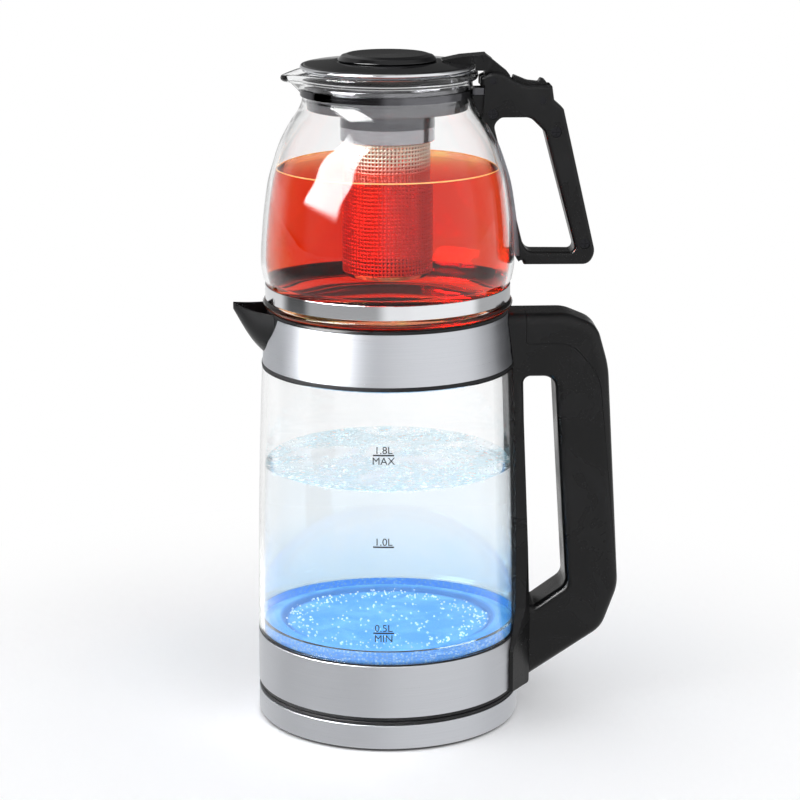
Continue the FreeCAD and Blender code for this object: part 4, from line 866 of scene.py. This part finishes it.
profile = jug_profile()
make_piece("jug_wall", carry_round(profile), grid_faces(len(profile), SEGMENTS, True, True),
           "kettle", "jug_glass", "clear_glass", ["glass_jug"])

# %% [markdown]
# ## The water
#
# The water fills the jug to a little over the middle. It could be a plain
# cylinder, but real water climbs the glass by a millimetre at its edge and moves
# while it heats. So its side follows the inside of the jug, its edge curls up, and
# its top is a sum of three slow waves of a few tenths of a millimetre. Its bottom
# lies a little below the plate's surface, so that no thin gap of air is left there
# to mirror the light.

# %% Water
WATER_TOP = 149.0 * MM
WAVES = 0.22 * MM
MENISCUS = 1.1 * MM              # how high the edge climbs
CURL = 1.3 * MM                  # how far in from the wall it climbs
FILM = 0.03 * MM                 # the liquid stays this far from the wall
LIQUID_SEGMENTS = 128
WATER_RINGS = 26
# The bed goes along the plate, over its raised bead and up beside its rim.
WATER_BED = np.array([(0, 52.6), (57.0, 52.6), (58.6, 53.7), (60.0, 54.9), (61, 55.1), (62.0, 54.9),
                      (63.4, 53.7), (65.0, 52.6), (69.0, 52.6), (69.6, 57.1)]) * MM


def ripples(points, size):
    """Height of three crossing waves: a sine along each of three directions, added up, times
    1 - (distance from the axis / inner radius)^8, so that they end at the wall."""
    x, y = points[..., 0], points[..., 1]
    waves = (np.sin(210 * x + 90 * y) + np.sin(-130 * x + 240 * y + 1.3) + np.sin(330 * x - 160 * y + 2.1))
    edge = 1 - np.clip((np.hypot(x, y) / (jug_radius(WATER_TOP) - JUG_WALL)) ** 8, 0, 1)
    return size * waves * edge


def liquid_top(radius, height, rings):
    """Rows from the wall to the axis, at height + meniscus times e^(-distance from the wall / curl)."""
    reach = np.linspace(1, 0, rings) ** 0.8
    r = radius * reach
    lift = MENISCUS * np.exp(-(radius - r) / CURL)
    return np.column_stack([r, height + lift])


def make_water_fill():
    """The bed, the inside of the jug less the film, and the top, carried round the axis; the top's
    rows then rise and fall with the ripples."""
    heights = np.linspace(WATER_BED[-1, 1] + 0.1 * MM, WATER_TOP + MENISCUS, 24)
    side = np.column_stack([jug_radius(heights) - JUG_WALL - FILM, heights])
    top = liquid_top(side[-1, 0], WATER_TOP, WATER_RINGS)
    points = carry_round(np.vstack([WATER_BED, side, top[1:]]), LIQUID_SEGMENTS)
    first_top = len(points) - len(top) + 1
    points[first_top:, :, 2] += ripples(points[first_top:], WAVES)
    return make_piece("water_fill", points, grid_faces(len(points), LIQUID_SEGMENTS, False, True),
                      "kettle", "water")


make_water_fill()

# %% [markdown]
# ## Foam on the water
#
# Heating water carries a thin white skin of the finest bubbles, which breaks up
# into patches and is thickest near the glass. Thousands of tiny balls would cost
# far too much. The skin here is one surface just above the water, with the water's
# own waves, and its opacity is made of noise at two sizes.

# %% Foam
FOAM_LIFT = 0.12 * MM            # the skin floats this far above the water
FOAM_GAP = 0.2 * MM              # and ends this far from the glass
FOAM_EDGE = (30 * MM, 66 * MM)   # it grows thicker between these radii


def make_foam_finish():
    """White skin in patches: its opacity follows large noise and a ring near the glass, times
    small cells."""
    # The glow is painted light that keeps the skin white.
    material, tree, shader = start_material("foam", Roughness=0.5, Emission_Strength=0.45)
    large = add(tree, "TexNoise", {"Vector": place_of(tree), "Scale": 34.0, "Detail": 3.0,
                                   "Distortion": 1.2}).outputs[0]
    cells = add(tree, "TexVoronoi", {"Vector": place_of(tree), "Scale": 260.0}).outputs["Distance"]
    edge = ramp(tree, radius_of(tree), *FOAM_EDGE, 0.0, 0.30)
    cover = math_node(tree, "ADD", ramp(tree, large, 0.34, 0.62), edge)
    gaps = ramp(tree, cells, 0.0, 0.7, 0.9, 0.35)
    feed(tree, shader.inputs["Alpha"], math_node(tree, "MULTIPLY", cover, gaps, clamp=True))
    tint = blend_colours(tree, ramp(tree, cells, 0.1, 0.6), (0.98, 1.0, 1.0, 1), (0.48, 0.84, 0.96, 1))
    feed(tree, shader.inputs["Base Color"], tint)
    feed(tree, shader.inputs["Emission Color"], tint)
    return material


def make_surface_foam():
    """The water's top, a little higher and a little smaller, with the same ripples."""
    reach = jug_radius(WATER_TOP) - JUG_WALL - FOAM_GAP
    top = liquid_top(reach, WATER_TOP + FOAM_LIFT, WATER_RINGS)
    points = carry_round(top, LIQUID_SEGMENTS)
    points[..., 2] += ripples(points, WAVES)
    return make_piece("surface_foam", points, grid_faces(len(top), LIQUID_SEGMENTS, False, True),
                      "kettle", "foam")


FINISHES["foam"] = make_foam_finish()
make_surface_foam()

# %% [markdown]
# ## Bubbles
#
# Bubbles gather as froth at the surface, half of them in a ring near the glass, and
# sit as small pearls on the hot plate. A particle system would need hundreds of
# objects. Here one small ball of eighty faces is copied by array arithmetic: each
# bubble is the ball times its radius plus its place. The places come from a seeded
# generator, so they are the same each time.

# %% Bubbles
FROTH_RINGS = [(260, 64, 4), (240, 34, 16)]          # how many, middle radius and scatter in mm
PEARL_RINGS = [(330, 50, 5), (110, 30, 14)]
PEARL_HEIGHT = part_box("heating_plate")[1].z - 2.0 * MM


def make_froth_finish():
    """Pale, nearly clear skin of a bubble."""
    # The pale blue glow is painted light that keeps the bubbles bright.
    material, tree, shader = start_material("froth", Transmission_Weight=0.35, IOR=1.12,
                                            Emission_Strength=0.28)
    shader.inputs["Emission Color"].default_value = (0.80, 0.94, 1.0, 1)
    mask = effect(tree, "smudges", Scale=90.0)
    feed(tree, shader.inputs["Base Color"], blend_colours(tree, mask, (0.86, 0.95, 1.0, 1), (1, 1, 1, 1)))
    feed(tree, shader.inputs["Roughness"], ramp(tree, mask, 0.0, 1.0, 0.10, 0.25))
    let_light_through(material, (0.9, 0.95, 1.0))
    return material


def small_ball():
    """Vertices and faces of a ball of radius 1 with eighty faces."""
    work = bmesh.new()
    bmesh.ops.create_icosphere(work, subdivisions=2, radius=1.0)
    vertices = np.array([v.co for v in work.verts])
    faces = np.array([[v.index for v in f.verts] for f in work.faces])
    work.free()
    return vertices, faces


def ring_of_places(rng, height, count, radius, spread):
    """Places near a circle: the radius scatters about its middle, the angle is even but random."""
    angle = rng.uniform(0, 2 * np.pi, count)
    r = np.clip(rng.normal(radius * MM, spread * MM, count), 2 * MM, 70 * MM)
    return np.column_stack([r * np.cos(angle), r * np.sin(angle), np.full(count, height)])


def make_bubbles(name, rng, rings, height, sizes, squash=1.0):
    """Copies of the ball: each is the ball times a radius, flattened by squash, plus a centre."""
    centres = np.vstack([ring_of_places(rng, height, *ring) for ring in rings])
    radii = rng.uniform(*sizes, len(centres)) * MM
    ball, faces = small_ball()
    points = centres[:, None, :] + (ball * (1, 1, squash))[None] * radii[:, None, None]
    shift = np.arange(len(centres))[:, None, None] * len(ball)
    return make_piece(name, points, (faces[None] + shift).reshape(-1, 3), "kettle", "froth")


FINISHES["froth"] = make_froth_finish()
rng = np.random.default_rng(7)
make_bubbles("surface_bubbles", rng, FROTH_RINGS, WATER_TOP, (0.25, 1.0), 0.55)
make_bubbles("plate_bubbles", rng, PEARL_RINGS, PEARL_HEIGHT, (0.2, 0.7))

# %% [markdown]
# ## The lit ring
#
# A clear ring stands round the heating plate, just inside the jug's foot. Its
# outer face is moulded into three rows of small beads that sparkle in the blue
# light. Hundreds of copied balls would cut into the ring and into each other, so
# the beads are a wave of the face itself. Each bead is one hump of a squared sine
# round the ring times one hump of a squared sine up the face.

# %% Beaded ring
BEADS_ROUND = 132
BEAD_ROWS = 3
BEAD_DEPTH = 0.55 * MM
BEAD_STEPS = 6                   # grid steps across a bead, each way
RING_INNER = 69.7 * MM
RING_EDGE = 0.6 * MM             # the flat top starts this far inside the beads
RING_LIP = 0.4 * MM              # the beads end this far under the ring's top


def make_beaded_ring():
    """The beads' radius is the ring's plus a depth times sin(rows pi u)^2 sin(beads a / 2)^2, with u
    going up the face and a round it. A smooth back closes the section."""
    low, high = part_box("light_ring")
    outer = high.x - BEAD_DEPTH
    u = np.linspace(0, 1, BEAD_ROWS * BEAD_STEPS + 1)[:, None]
    angle = np.linspace(0, 2 * np.pi, BEADS_ROUND * BEAD_STEPS, endpoint=False)[None]
    hump = np.sin(np.pi * BEAD_ROWS * u) ** 2 * np.sin(BEADS_ROUND / 2 * angle) ** 2
    radius = outer + BEAD_DEPTH * hump
    height = low.z + (high.z - low.z - RING_LIP) * u + 0 * angle
    face = np.stack([radius * np.cos(angle), radius * np.sin(angle), height], axis=-1)
    section = np.array([[outer - RING_EDGE, high.z], [RING_INNER, high.z], [RING_INNER, low.z]])
    points = np.concatenate([face, carry_round(section, angle.size)])
    return make_piece("beaded_ring", points, grid_faces(len(points), angle.size, True, True), "kettle",
                      "lit_ring", "clear_acrylic", ["light_ring"], sharp=60)


make_beaded_ring()

# %% [markdown]
# ## The kettle's spout
#
# The spout is a leaf of black plastic folded into a deep channel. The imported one
# is a straight loft between two outlines, so its flanks are flat. A surface of two
# parameters can swell instead: one parameter runs from the collar to the tip, the
# other round the U of the section. Inner and outer skins are the same formula with
# a different inset. A smooth step, which also shapes the pot's beak later, brings
# the wall down to nothing at both ends, so that the skins meet there.

# %% Spout
COLLAR_LOW, COLLAR_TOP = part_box("steel_collar")[0].z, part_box("steel_collar")[1].z
COLLAR_RADII = (71.6 * MM, 68.4 * MM)
SPOUT_BURIED = 0.9 * MM          # the root starts this far under the collar's face
SPOUT_TIP_X = 87.6 * MM
SPOUT_HALF = (20.6 * MM, 1.6 * MM)           # half width at the root and at the tip
SPOUT_TOP = (238.8 * MM, 242.2 * MM)
SPOUT_KEEL = (213.6 * MM, 238.6 * MM)
SPOUT_SWELL = 3.4 * MM
SPOUT_WALL = 1.7 * MM


def smooth_step(value, low, high):
    """0 below low, 1 above high, and 3t^2 - 2t^3 in between."""
    t = np.clip((value - low) / (high - low), 0, 1)
    return t * t * (3 - 2 * t)


def spout_skin(inset, t, turn):
    """Half width w and depth d shrink along t; y = w sin(turn), z = top - d cos(turn)^0.8, and
    x runs from the collar's cone at that y and z to the tip. The keel swells by a sine of t."""
    half = SPOUT_HALF[1] + (SPOUT_HALF[0] - SPOUT_HALF[1]) * (1 - t) ** 0.85 - inset
    top = SPOUT_TOP[0] + (SPOUT_TOP[1] - SPOUT_TOP[0]) * t ** 1.8 + 0 * turn
    keel = SPOUT_KEEL[0] + (SPOUT_KEEL[1] - SPOUT_KEEL[0]) * t - SPOUT_SWELL * np.sin(np.pi * t)
    y = np.maximum(half, 0.2 * MM) * np.sin(turn)
    z = top - (top - keel - inset) * np.cos(turn).clip(0) ** 0.8
    collar = np.interp(z, [COLLAR_LOW, COLLAR_TOP], COLLAR_RADII) - SPOUT_BURIED
    root = np.sqrt(collar ** 2 - y ** 2)
    return np.stack([-(root + (SPOUT_TIP_X - root) * t), y, z], axis=-1)


def make_spout():
    """Outer skin with no inset beside an inner skin turned the other way, whose inset is the wall
    times a smooth step at each end."""
    t = np.linspace(0, 1, 36)[:, None]
    turn = np.linspace(-np.pi / 2, np.pi / 2, 41)[None]
    wall = SPOUT_WALL * smooth_step(t, 0.0, 0.04) * smooth_step(1 - t, 0.0, 0.10)
    points = np.concatenate([spout_skin(0.0, t, turn), spout_skin(wall, t, turn[:, ::-1])], axis=1)
    rows, columns = points.shape[:2]
    return make_piece("spout_shell", points, grid_faces(rows, columns, False, True), "kettle",
                      "satin_black", "black_plastic", ["kettle_spout"], sharp=50)


make_spout()

# %% [markdown]
# ## The teapot's glass
#
# The pot is blown into a mould: a rounded heel that drops into the kettle's mouth,
# a groove for a steel band, a full body, a straight neck and a thick rim that is
# drawn out into a beak. The body could be a sphere cut at both ends, but the real
# one has a shoulder. The profile goes up the outside along a smooth line through a
# dozen measured radii, over the rim and down the inside. The beak is added to the
# finished grid: near the rim, on the side away from the handle, every point moves
# outwards and a little down by a bell-shaped amount.

# %% Pot glass
POT_WALL = 2.6 * MM
SHOULDER = np.array([(70.2, 256.6), (71.5, 264.0), (71.4, 272.6), (70.6, 284.0), (69.3, 297.0),
                     (67.2, 311.0), (64.2, 322.0), (60.0, 334.0), (54.6, 344.0), (50.2, 350.6),
                     (47.9, 355.8), (47.6, 360.0)]) * MM
HEEL = np.array([(0, 236.9), (40, 236.5), (55.6, 236.3), (62.6, 236.4), (65.0, 237.4), (65.6, 239.4),
                 (68.6, 240.3), (70.3, 241.5), (70.8, 242.9), (70.0, 244.4), (68.5, 245.3),
                 (68.5, 249.4), (68.5, 253.5)]) * MM
RIM = np.array([(47.6, 367.4), (48.4, 368.3), (49.7, 368.8), (50.4, 370.0), (50.4, 372.0),
                (49.7, 373.0), (46.2, 373.0), (45.4, 372.3)]) * MM
NECK_INSIDE = np.array([(45.5, 356.8), (45.4, 361.0)]) * MM
INSIDE_LOW = np.array([(66.3, 253.6), (66.0, 249.4), (66.1, 245.3), (67.4, 242.8), (64.8, 240.2),
                       (58.6, 239.4), (40, 239.6), (0, 239.8)]) * MM
BEAK_REACH = 9.0 * MM
BEAK_DROP = 2.4 * MM
BEAK_START, BEAK_FULL = 360.5 * MM, 371.5 * MM
BEAK_WIDTH = 0.34                # radians to each side
POT_SEGMENTS = 256


def pot_profile():
    """From the axis along the heel, up the shoulder, over the rim, and down the same smooth line
    one wall further in to the axis again. The groove between heel and shoulder stays straight."""
    outside = smooth_through(SHOULDER, 7)
    inner_knots = np.vstack([SHOULDER[:-2] - [POT_WALL, 0], NECK_INSIDE])
    inside = smooth_through(inner_knots, 7)[::-1]
    return np.vstack([smooth_through(HEEL[:11], 5), HEEL[11:], outside, smooth_through(RIM, 4),
                      inside, INSIDE_LOW[:3], smooth_through(INSIDE_LOW[3:], 5)])


def draw_out_beak(points):
    """Points near the rim opposite the handle move outwards by reach and down by drop,
    each times a bell over the angle and a smooth step over the height."""
    angle = np.arctan2(points[..., 1], -points[..., 0])
    share = smooth_step(points[..., 2], BEAK_START, BEAK_FULL)
    bell = 0.7 * np.exp(-(angle / BEAK_WIDTH) ** 2) + 0.3 * np.exp(-(angle / (BEAK_WIDTH * 0.4)) ** 2)
    moved = points.copy()
    moved[..., 0] -= BEAK_REACH * bell * share
    moved[..., 2] -= BEAK_DROP * bell * share ** 2
    return moved


profile = pot_profile()
pot_points = draw_out_beak(carry_round(profile, POT_SEGMENTS))
make_piece("pot_wall", pot_points, grid_faces(len(profile), POT_SEGMENTS, False, True), "teapot",
           "pot_glass", "clear_glass", ["pot_glass"], sharp=80)

# %% [markdown]
# ## The tea
#
# The tea fills the pot to its shoulder. It could be a ball that the glass cuts off,
# but any gap or overlap between the two shows at once. So its side is the inside of
# the glass itself, less a thin film, and its edge curls up against the wall. Where
# it curls, light through the thin tea makes a bright line, and a slim glowing
# orange ring paints that line all round the pot as a painted highlight.

# %% Tea
EDGE_THICK = 0.75 * MM
EDGE_INSET = 0.6 * MM            # between the glass and the middle of the bright edge


def make_tea_fill():
    """The inside of the pot less the film, up to the tea's height, closed by a top with a curled
    edge, carried round the axis."""
    side = smooth_through(SHOULDER - [POT_WALL + FILM, 0], 10)
    side = side[side[:, 1] < TEA_TOP + MENISCUS]
    low = smooth_through(INSIDE_LOW[::-1] + [-FILM, FILM], 5)
    low[:, 0] = np.maximum(low[:, 0], 0)
    top = liquid_top(side[-1, 0], TEA_TOP, rings=20)
    top[:, 1] += side[-1, 1] - TEA_TOP - MENISCUS
    points = carry_round(np.vstack([low[:-1], side, top[1:]]), LIQUID_SEGMENTS)
    return make_piece("tea_fill", points, grid_faces(len(points), LIQUID_SEGMENTS, False, True),
                      "teapot", "tea")


def make_edge_finish():
    """A painted highlight: glowing orange for the light that comes through the thin edge of the tea."""
    # Painted highlight: the orange glow draws the bright line at the tea's edge.
    material, tree, shader = start_material("tea_edge", Roughness=0.25, Emission_Strength=0.55)
    mask = effect(tree, "smudges", Scale=70.0)
    glow = blend_colours(tree, mask, (1.0, 0.36, 0.10, 1), (1.0, 0.56, 0.20, 1))
    feed(tree, shader.inputs["Base Color"], glow)
    feed(tree, shader.inputs["Emission Color"], glow)
    return material


def make_tea_edge():
    """A thin ring where the tea climbs the glass: a circle of radius EDGE_THICK / 2, flattened
    sideways, carried round the axis."""
    wall = np.interp(TEA_TOP, SHOULDER[:, 1], SHOULDER[:, 0]) - POT_WALL - FILM
    turn = np.linspace(0, 2 * np.pi, 10, endpoint=False)
    section = np.column_stack([wall - EDGE_INSET + 0.3 * EDGE_THICK * np.cos(turn),
                               TEA_TOP + MENISCUS + EDGE_THICK / 2 * np.sin(turn)])
    return make_piece("tea_edge", carry_round(section, 160), grid_faces(len(section), 160, True, True),
                      "teapot", "tea_edge")


make_tea_fill()
FINISHES["tea_edge"] = make_edge_finish()
make_tea_edge()

# %% [markdown]
# ## The perforated basket
#
# The basket is a thin steel sheet with thousands of punched holes. A picture of
# dots would vanish at the edge, where the sheet is seen from the side, so the
# holes are real. One cell is a square with an eight-sided hole: eight points on
# its border, eight on the hole, eight faces between. The cell is repeated round
# and up the sheet, and a Solidify modifier gives the steel its thickness.

# %% Basket
BASKET_COLUMNS = 72
BASKET_RADIUS = 24.0 * MM
BASKET_HEM = 1.0 * MM            # the holes end this far under the sheet's top
HOLE_SHARE = 0.64                # hole diameter over the pitch
SHEET = 0.4 * MM


def cell_points(share):
    """Border and hole points of one square cell, each going round from its lower left corner."""
    border = np.array([(0, 0), (.5, 0), (1, 0), (1, .5), (1, 1), (.5, 1), (0, 1), (0, .5)])
    angle = np.radians(-135 + 45 * np.arange(8))
    hole = 0.5 + share / 2 * np.column_stack([np.cos(angle), np.sin(angle)])
    return np.vstack([border, hole])


def make_basket():
    """Each cell's points (u, v), counted in cells, are rolled up: angle = 2 pi u / columns, and
    height = bottom + v times the height of a row."""
    low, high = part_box("infuser_basket")
    radius = BASKET_RADIUS - SHEET / 2
    bottom, top = low.z, high.z - BASKET_HEM
    rows = int((top - bottom) / (2 * np.pi * radius / BASKET_COLUMNS))
    row, column = np.meshgrid(np.arange(rows), np.arange(BASKET_COLUMNS), indexing="ij")
    origin = np.stack([column, row], axis=-1).reshape(-1, 1, 2)
    flat = (origin + cell_points(HOLE_SHARE)[None]).reshape(-1, 2)
    angle = flat[:, 0] * 2 * np.pi / BASKET_COLUMNS
    height = bottom + flat[:, 1] * (top - bottom) / rows
    points = np.column_stack([radius * np.cos(angle), radius * np.sin(angle), height])
    here = np.arange(8)
    after = (here + 1) % 8
    cell_faces = np.stack([here, after, after + 8, here + 8], axis=-1)
    faces = (cell_faces[None] + 16 * np.arange(rows * BASKET_COLUMNS)[:, None, None]).reshape(-1, 4)
    basket = make_piece("perforated_basket", points, faces, "infuser", "basket_steel",
                        "perforated_steel", ["infuser_basket"])
    solid = basket.modifiers.new("sheet", "SOLIDIFY")
    solid.thickness, solid.offset = SHEET, 0.0
    return basket


make_basket()

# %% [markdown]
# ## The ring in the neck
#
# The infuser hangs in the pot's neck by a polished ring with a flat floor round
# the cup; its dark colour is a painted reflection of the black lid above it. The
# imported ring could be kept, but it is made of flat facets, and polished metal
# shows each one as a break in its reflection. So it is made again, finer and
# smooth, inside the same box. A square corner would catch no light, so each corner
# of its outline is rounded.

# %% Neck ring
NECK_RING_WALL = 1.0 * MM
NECK_RING_GAP = 0.1 * MM         # between the ring's floor and the cup
NECK_RING_CORNER = 0.4 * MM


def make_neck_ring():
    """The infuser's skirt: an L of floor and wall, with rounded corners, carried round the axis."""
    low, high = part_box("infuser_skirt")
    outer, inner = high.x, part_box("infuser_cup")[1].x + NECK_RING_GAP
    inside, floor_top = outer - NECK_RING_WALL, low.z + NECK_RING_WALL
    section = soften([(inner, low.z), (outer, low.z), (outer, high.z), (inside, high.z),
                      (inside, floor_top), (inner, floor_top)], NECK_RING_CORNER)
    return make_piece("neck_ring", carry_round(section), grid_faces(len(section), SEGMENTS, True, True),
                      "infuser", "ring_steel_painted_reflection", "polished_steel", ["infuser_skirt"])


make_neck_ring()

# %% [markdown]
# ## Printed level marks
#
# The jug carries three level marks in dark ink: a line with a capacity above it,
# and a word below the highest and the lowest. Letters could be an image, but an
# image has an edge and a size in pixels. Here each word is a text object turned
# into a mesh. Its flat coordinates become an angle and a height, so the word lies
# on the curved glass without a gap.

# %% Ink and letters
LETTER_SIZE = 5.9 * MM
CAPITAL = 0.73                   # height of a capital letter over the letter size


def make_ink():
    """Dark screen-printed ink, slightly uneven in gloss."""
    material, tree, shader = start_material("mark_ink")
    mask = effect(tree, "grain", Scale=1600.0)
    finish_with(tree, shader, mask, ((0.006, 0.007, 0.010), (0.014, 0.015, 0.020)), (0.40, 0.60),
                mask, 0.00001)
    return material


def letters_mesh(text, low):
    """Points (x, y) and faces of a centred word, with its base line at height low."""
    curve = bpy.data.curves.new("word", "FONT")
    curve.body, curve.size, curve.align_x = text, 1.0, "CENTER"
    holder = bpy.data.objects.new("word", curve)
    mesh = bpy.data.meshes.new_from_object(holder)
    points = np.array([v.co for v in mesh.vertices])[:, :2] * LETTER_SIZE + [0, low]
    faces = [list(p.vertices) for p in mesh.polygons]
    bpy.data.objects.remove(holder)
    bpy.data.meshes.remove(mesh)
    return points, faces


FINISHES["mark_ink"] = make_ink()
print("letter height:", round(LETTER_SIZE * CAPITAL / MM, 2), "mm")

# %% [markdown]
# ## Laying a mark on the glass
#
# A mark is one print, so its line and its words become one mesh. A Shrinkwrap
# modifier could press it on the jug, but the export would have to follow it.
# Instead, the same formula that shapes the jug gives the place of every point, a
# little outside the glass. The marks face the camera's side, as in the photograph.

# %% Level marks
INK_LIFT = 0.05 * MM             # the ink stands this far off the glass
LINE_HALF = 5.8 * MM
LINE_THICK = 0.85 * MM
WORD_GAP = 0.9 * MM              # between a mark's height and its words
MARK_ANGLE = CAMERA_AZIMUTH - math.radians(1.6)
MARKS = [(171.0 * MM, "1.8L", "MAX"), (119.0 * MM, "1.0L", ""), (69.2 * MM, "0.5L", "MIN")]


def on_jug(flat, height):
    """Flat (x, y) laid on the glass: the angle is x over the radius, the height is y above the mark."""
    z = height + flat[:, 1]
    radius = jug_radius(z) + INK_LIFT
    angle = MARK_ANGLE + flat[:, 0] / radius
    return np.column_stack([radius * np.sin(angle), -radius * np.cos(angle), z])


def mark_line():
    """Points (x, y) and faces of the line: two rows of points, half a thickness below and above."""
    x = np.linspace(-LINE_HALF, LINE_HALF, 15)
    rows = [np.column_stack([x, 0 * x + y]) for y in (-LINE_THICK / 2, LINE_THICK / 2)]
    return np.vstack(rows), grid_faces(2, len(x), False, False).tolist()


def make_mark(index, height, above, below):
    """The line and its words, flat side by side, then laid on the glass by on_jug."""
    parts = [mark_line(), letters_mesh(above, WORD_GAP)]
    if below:
        parts.append(letters_mesh(below, -WORD_GAP - LETTER_SIZE * CAPITAL))
    points, faces = [], []
    for part_points, part_faces in parts:
        start = sum(len(p) for p in points)
        faces += [[start + v for v in face] for face in part_faces]
        points.append(on_jug(part_points, height))
    mesh = bpy.data.meshes.new(f"level_mark_{index}")
    mesh.from_pydata(np.vstack(points).tolist(), [], faces)
    mesh.materials.append(FINISHES["mark_ink"])
    mark = bpy.data.objects.new(mesh.name, mesh)
    bpy.context.scene.collection.objects.link(mark)
    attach(mark, "kettle")
    print(f"{mark.name}: {above} {below}, {len(faces)} faces")
    return mark


for index, mark in enumerate(MARKS):
    make_mark(index, *mark)
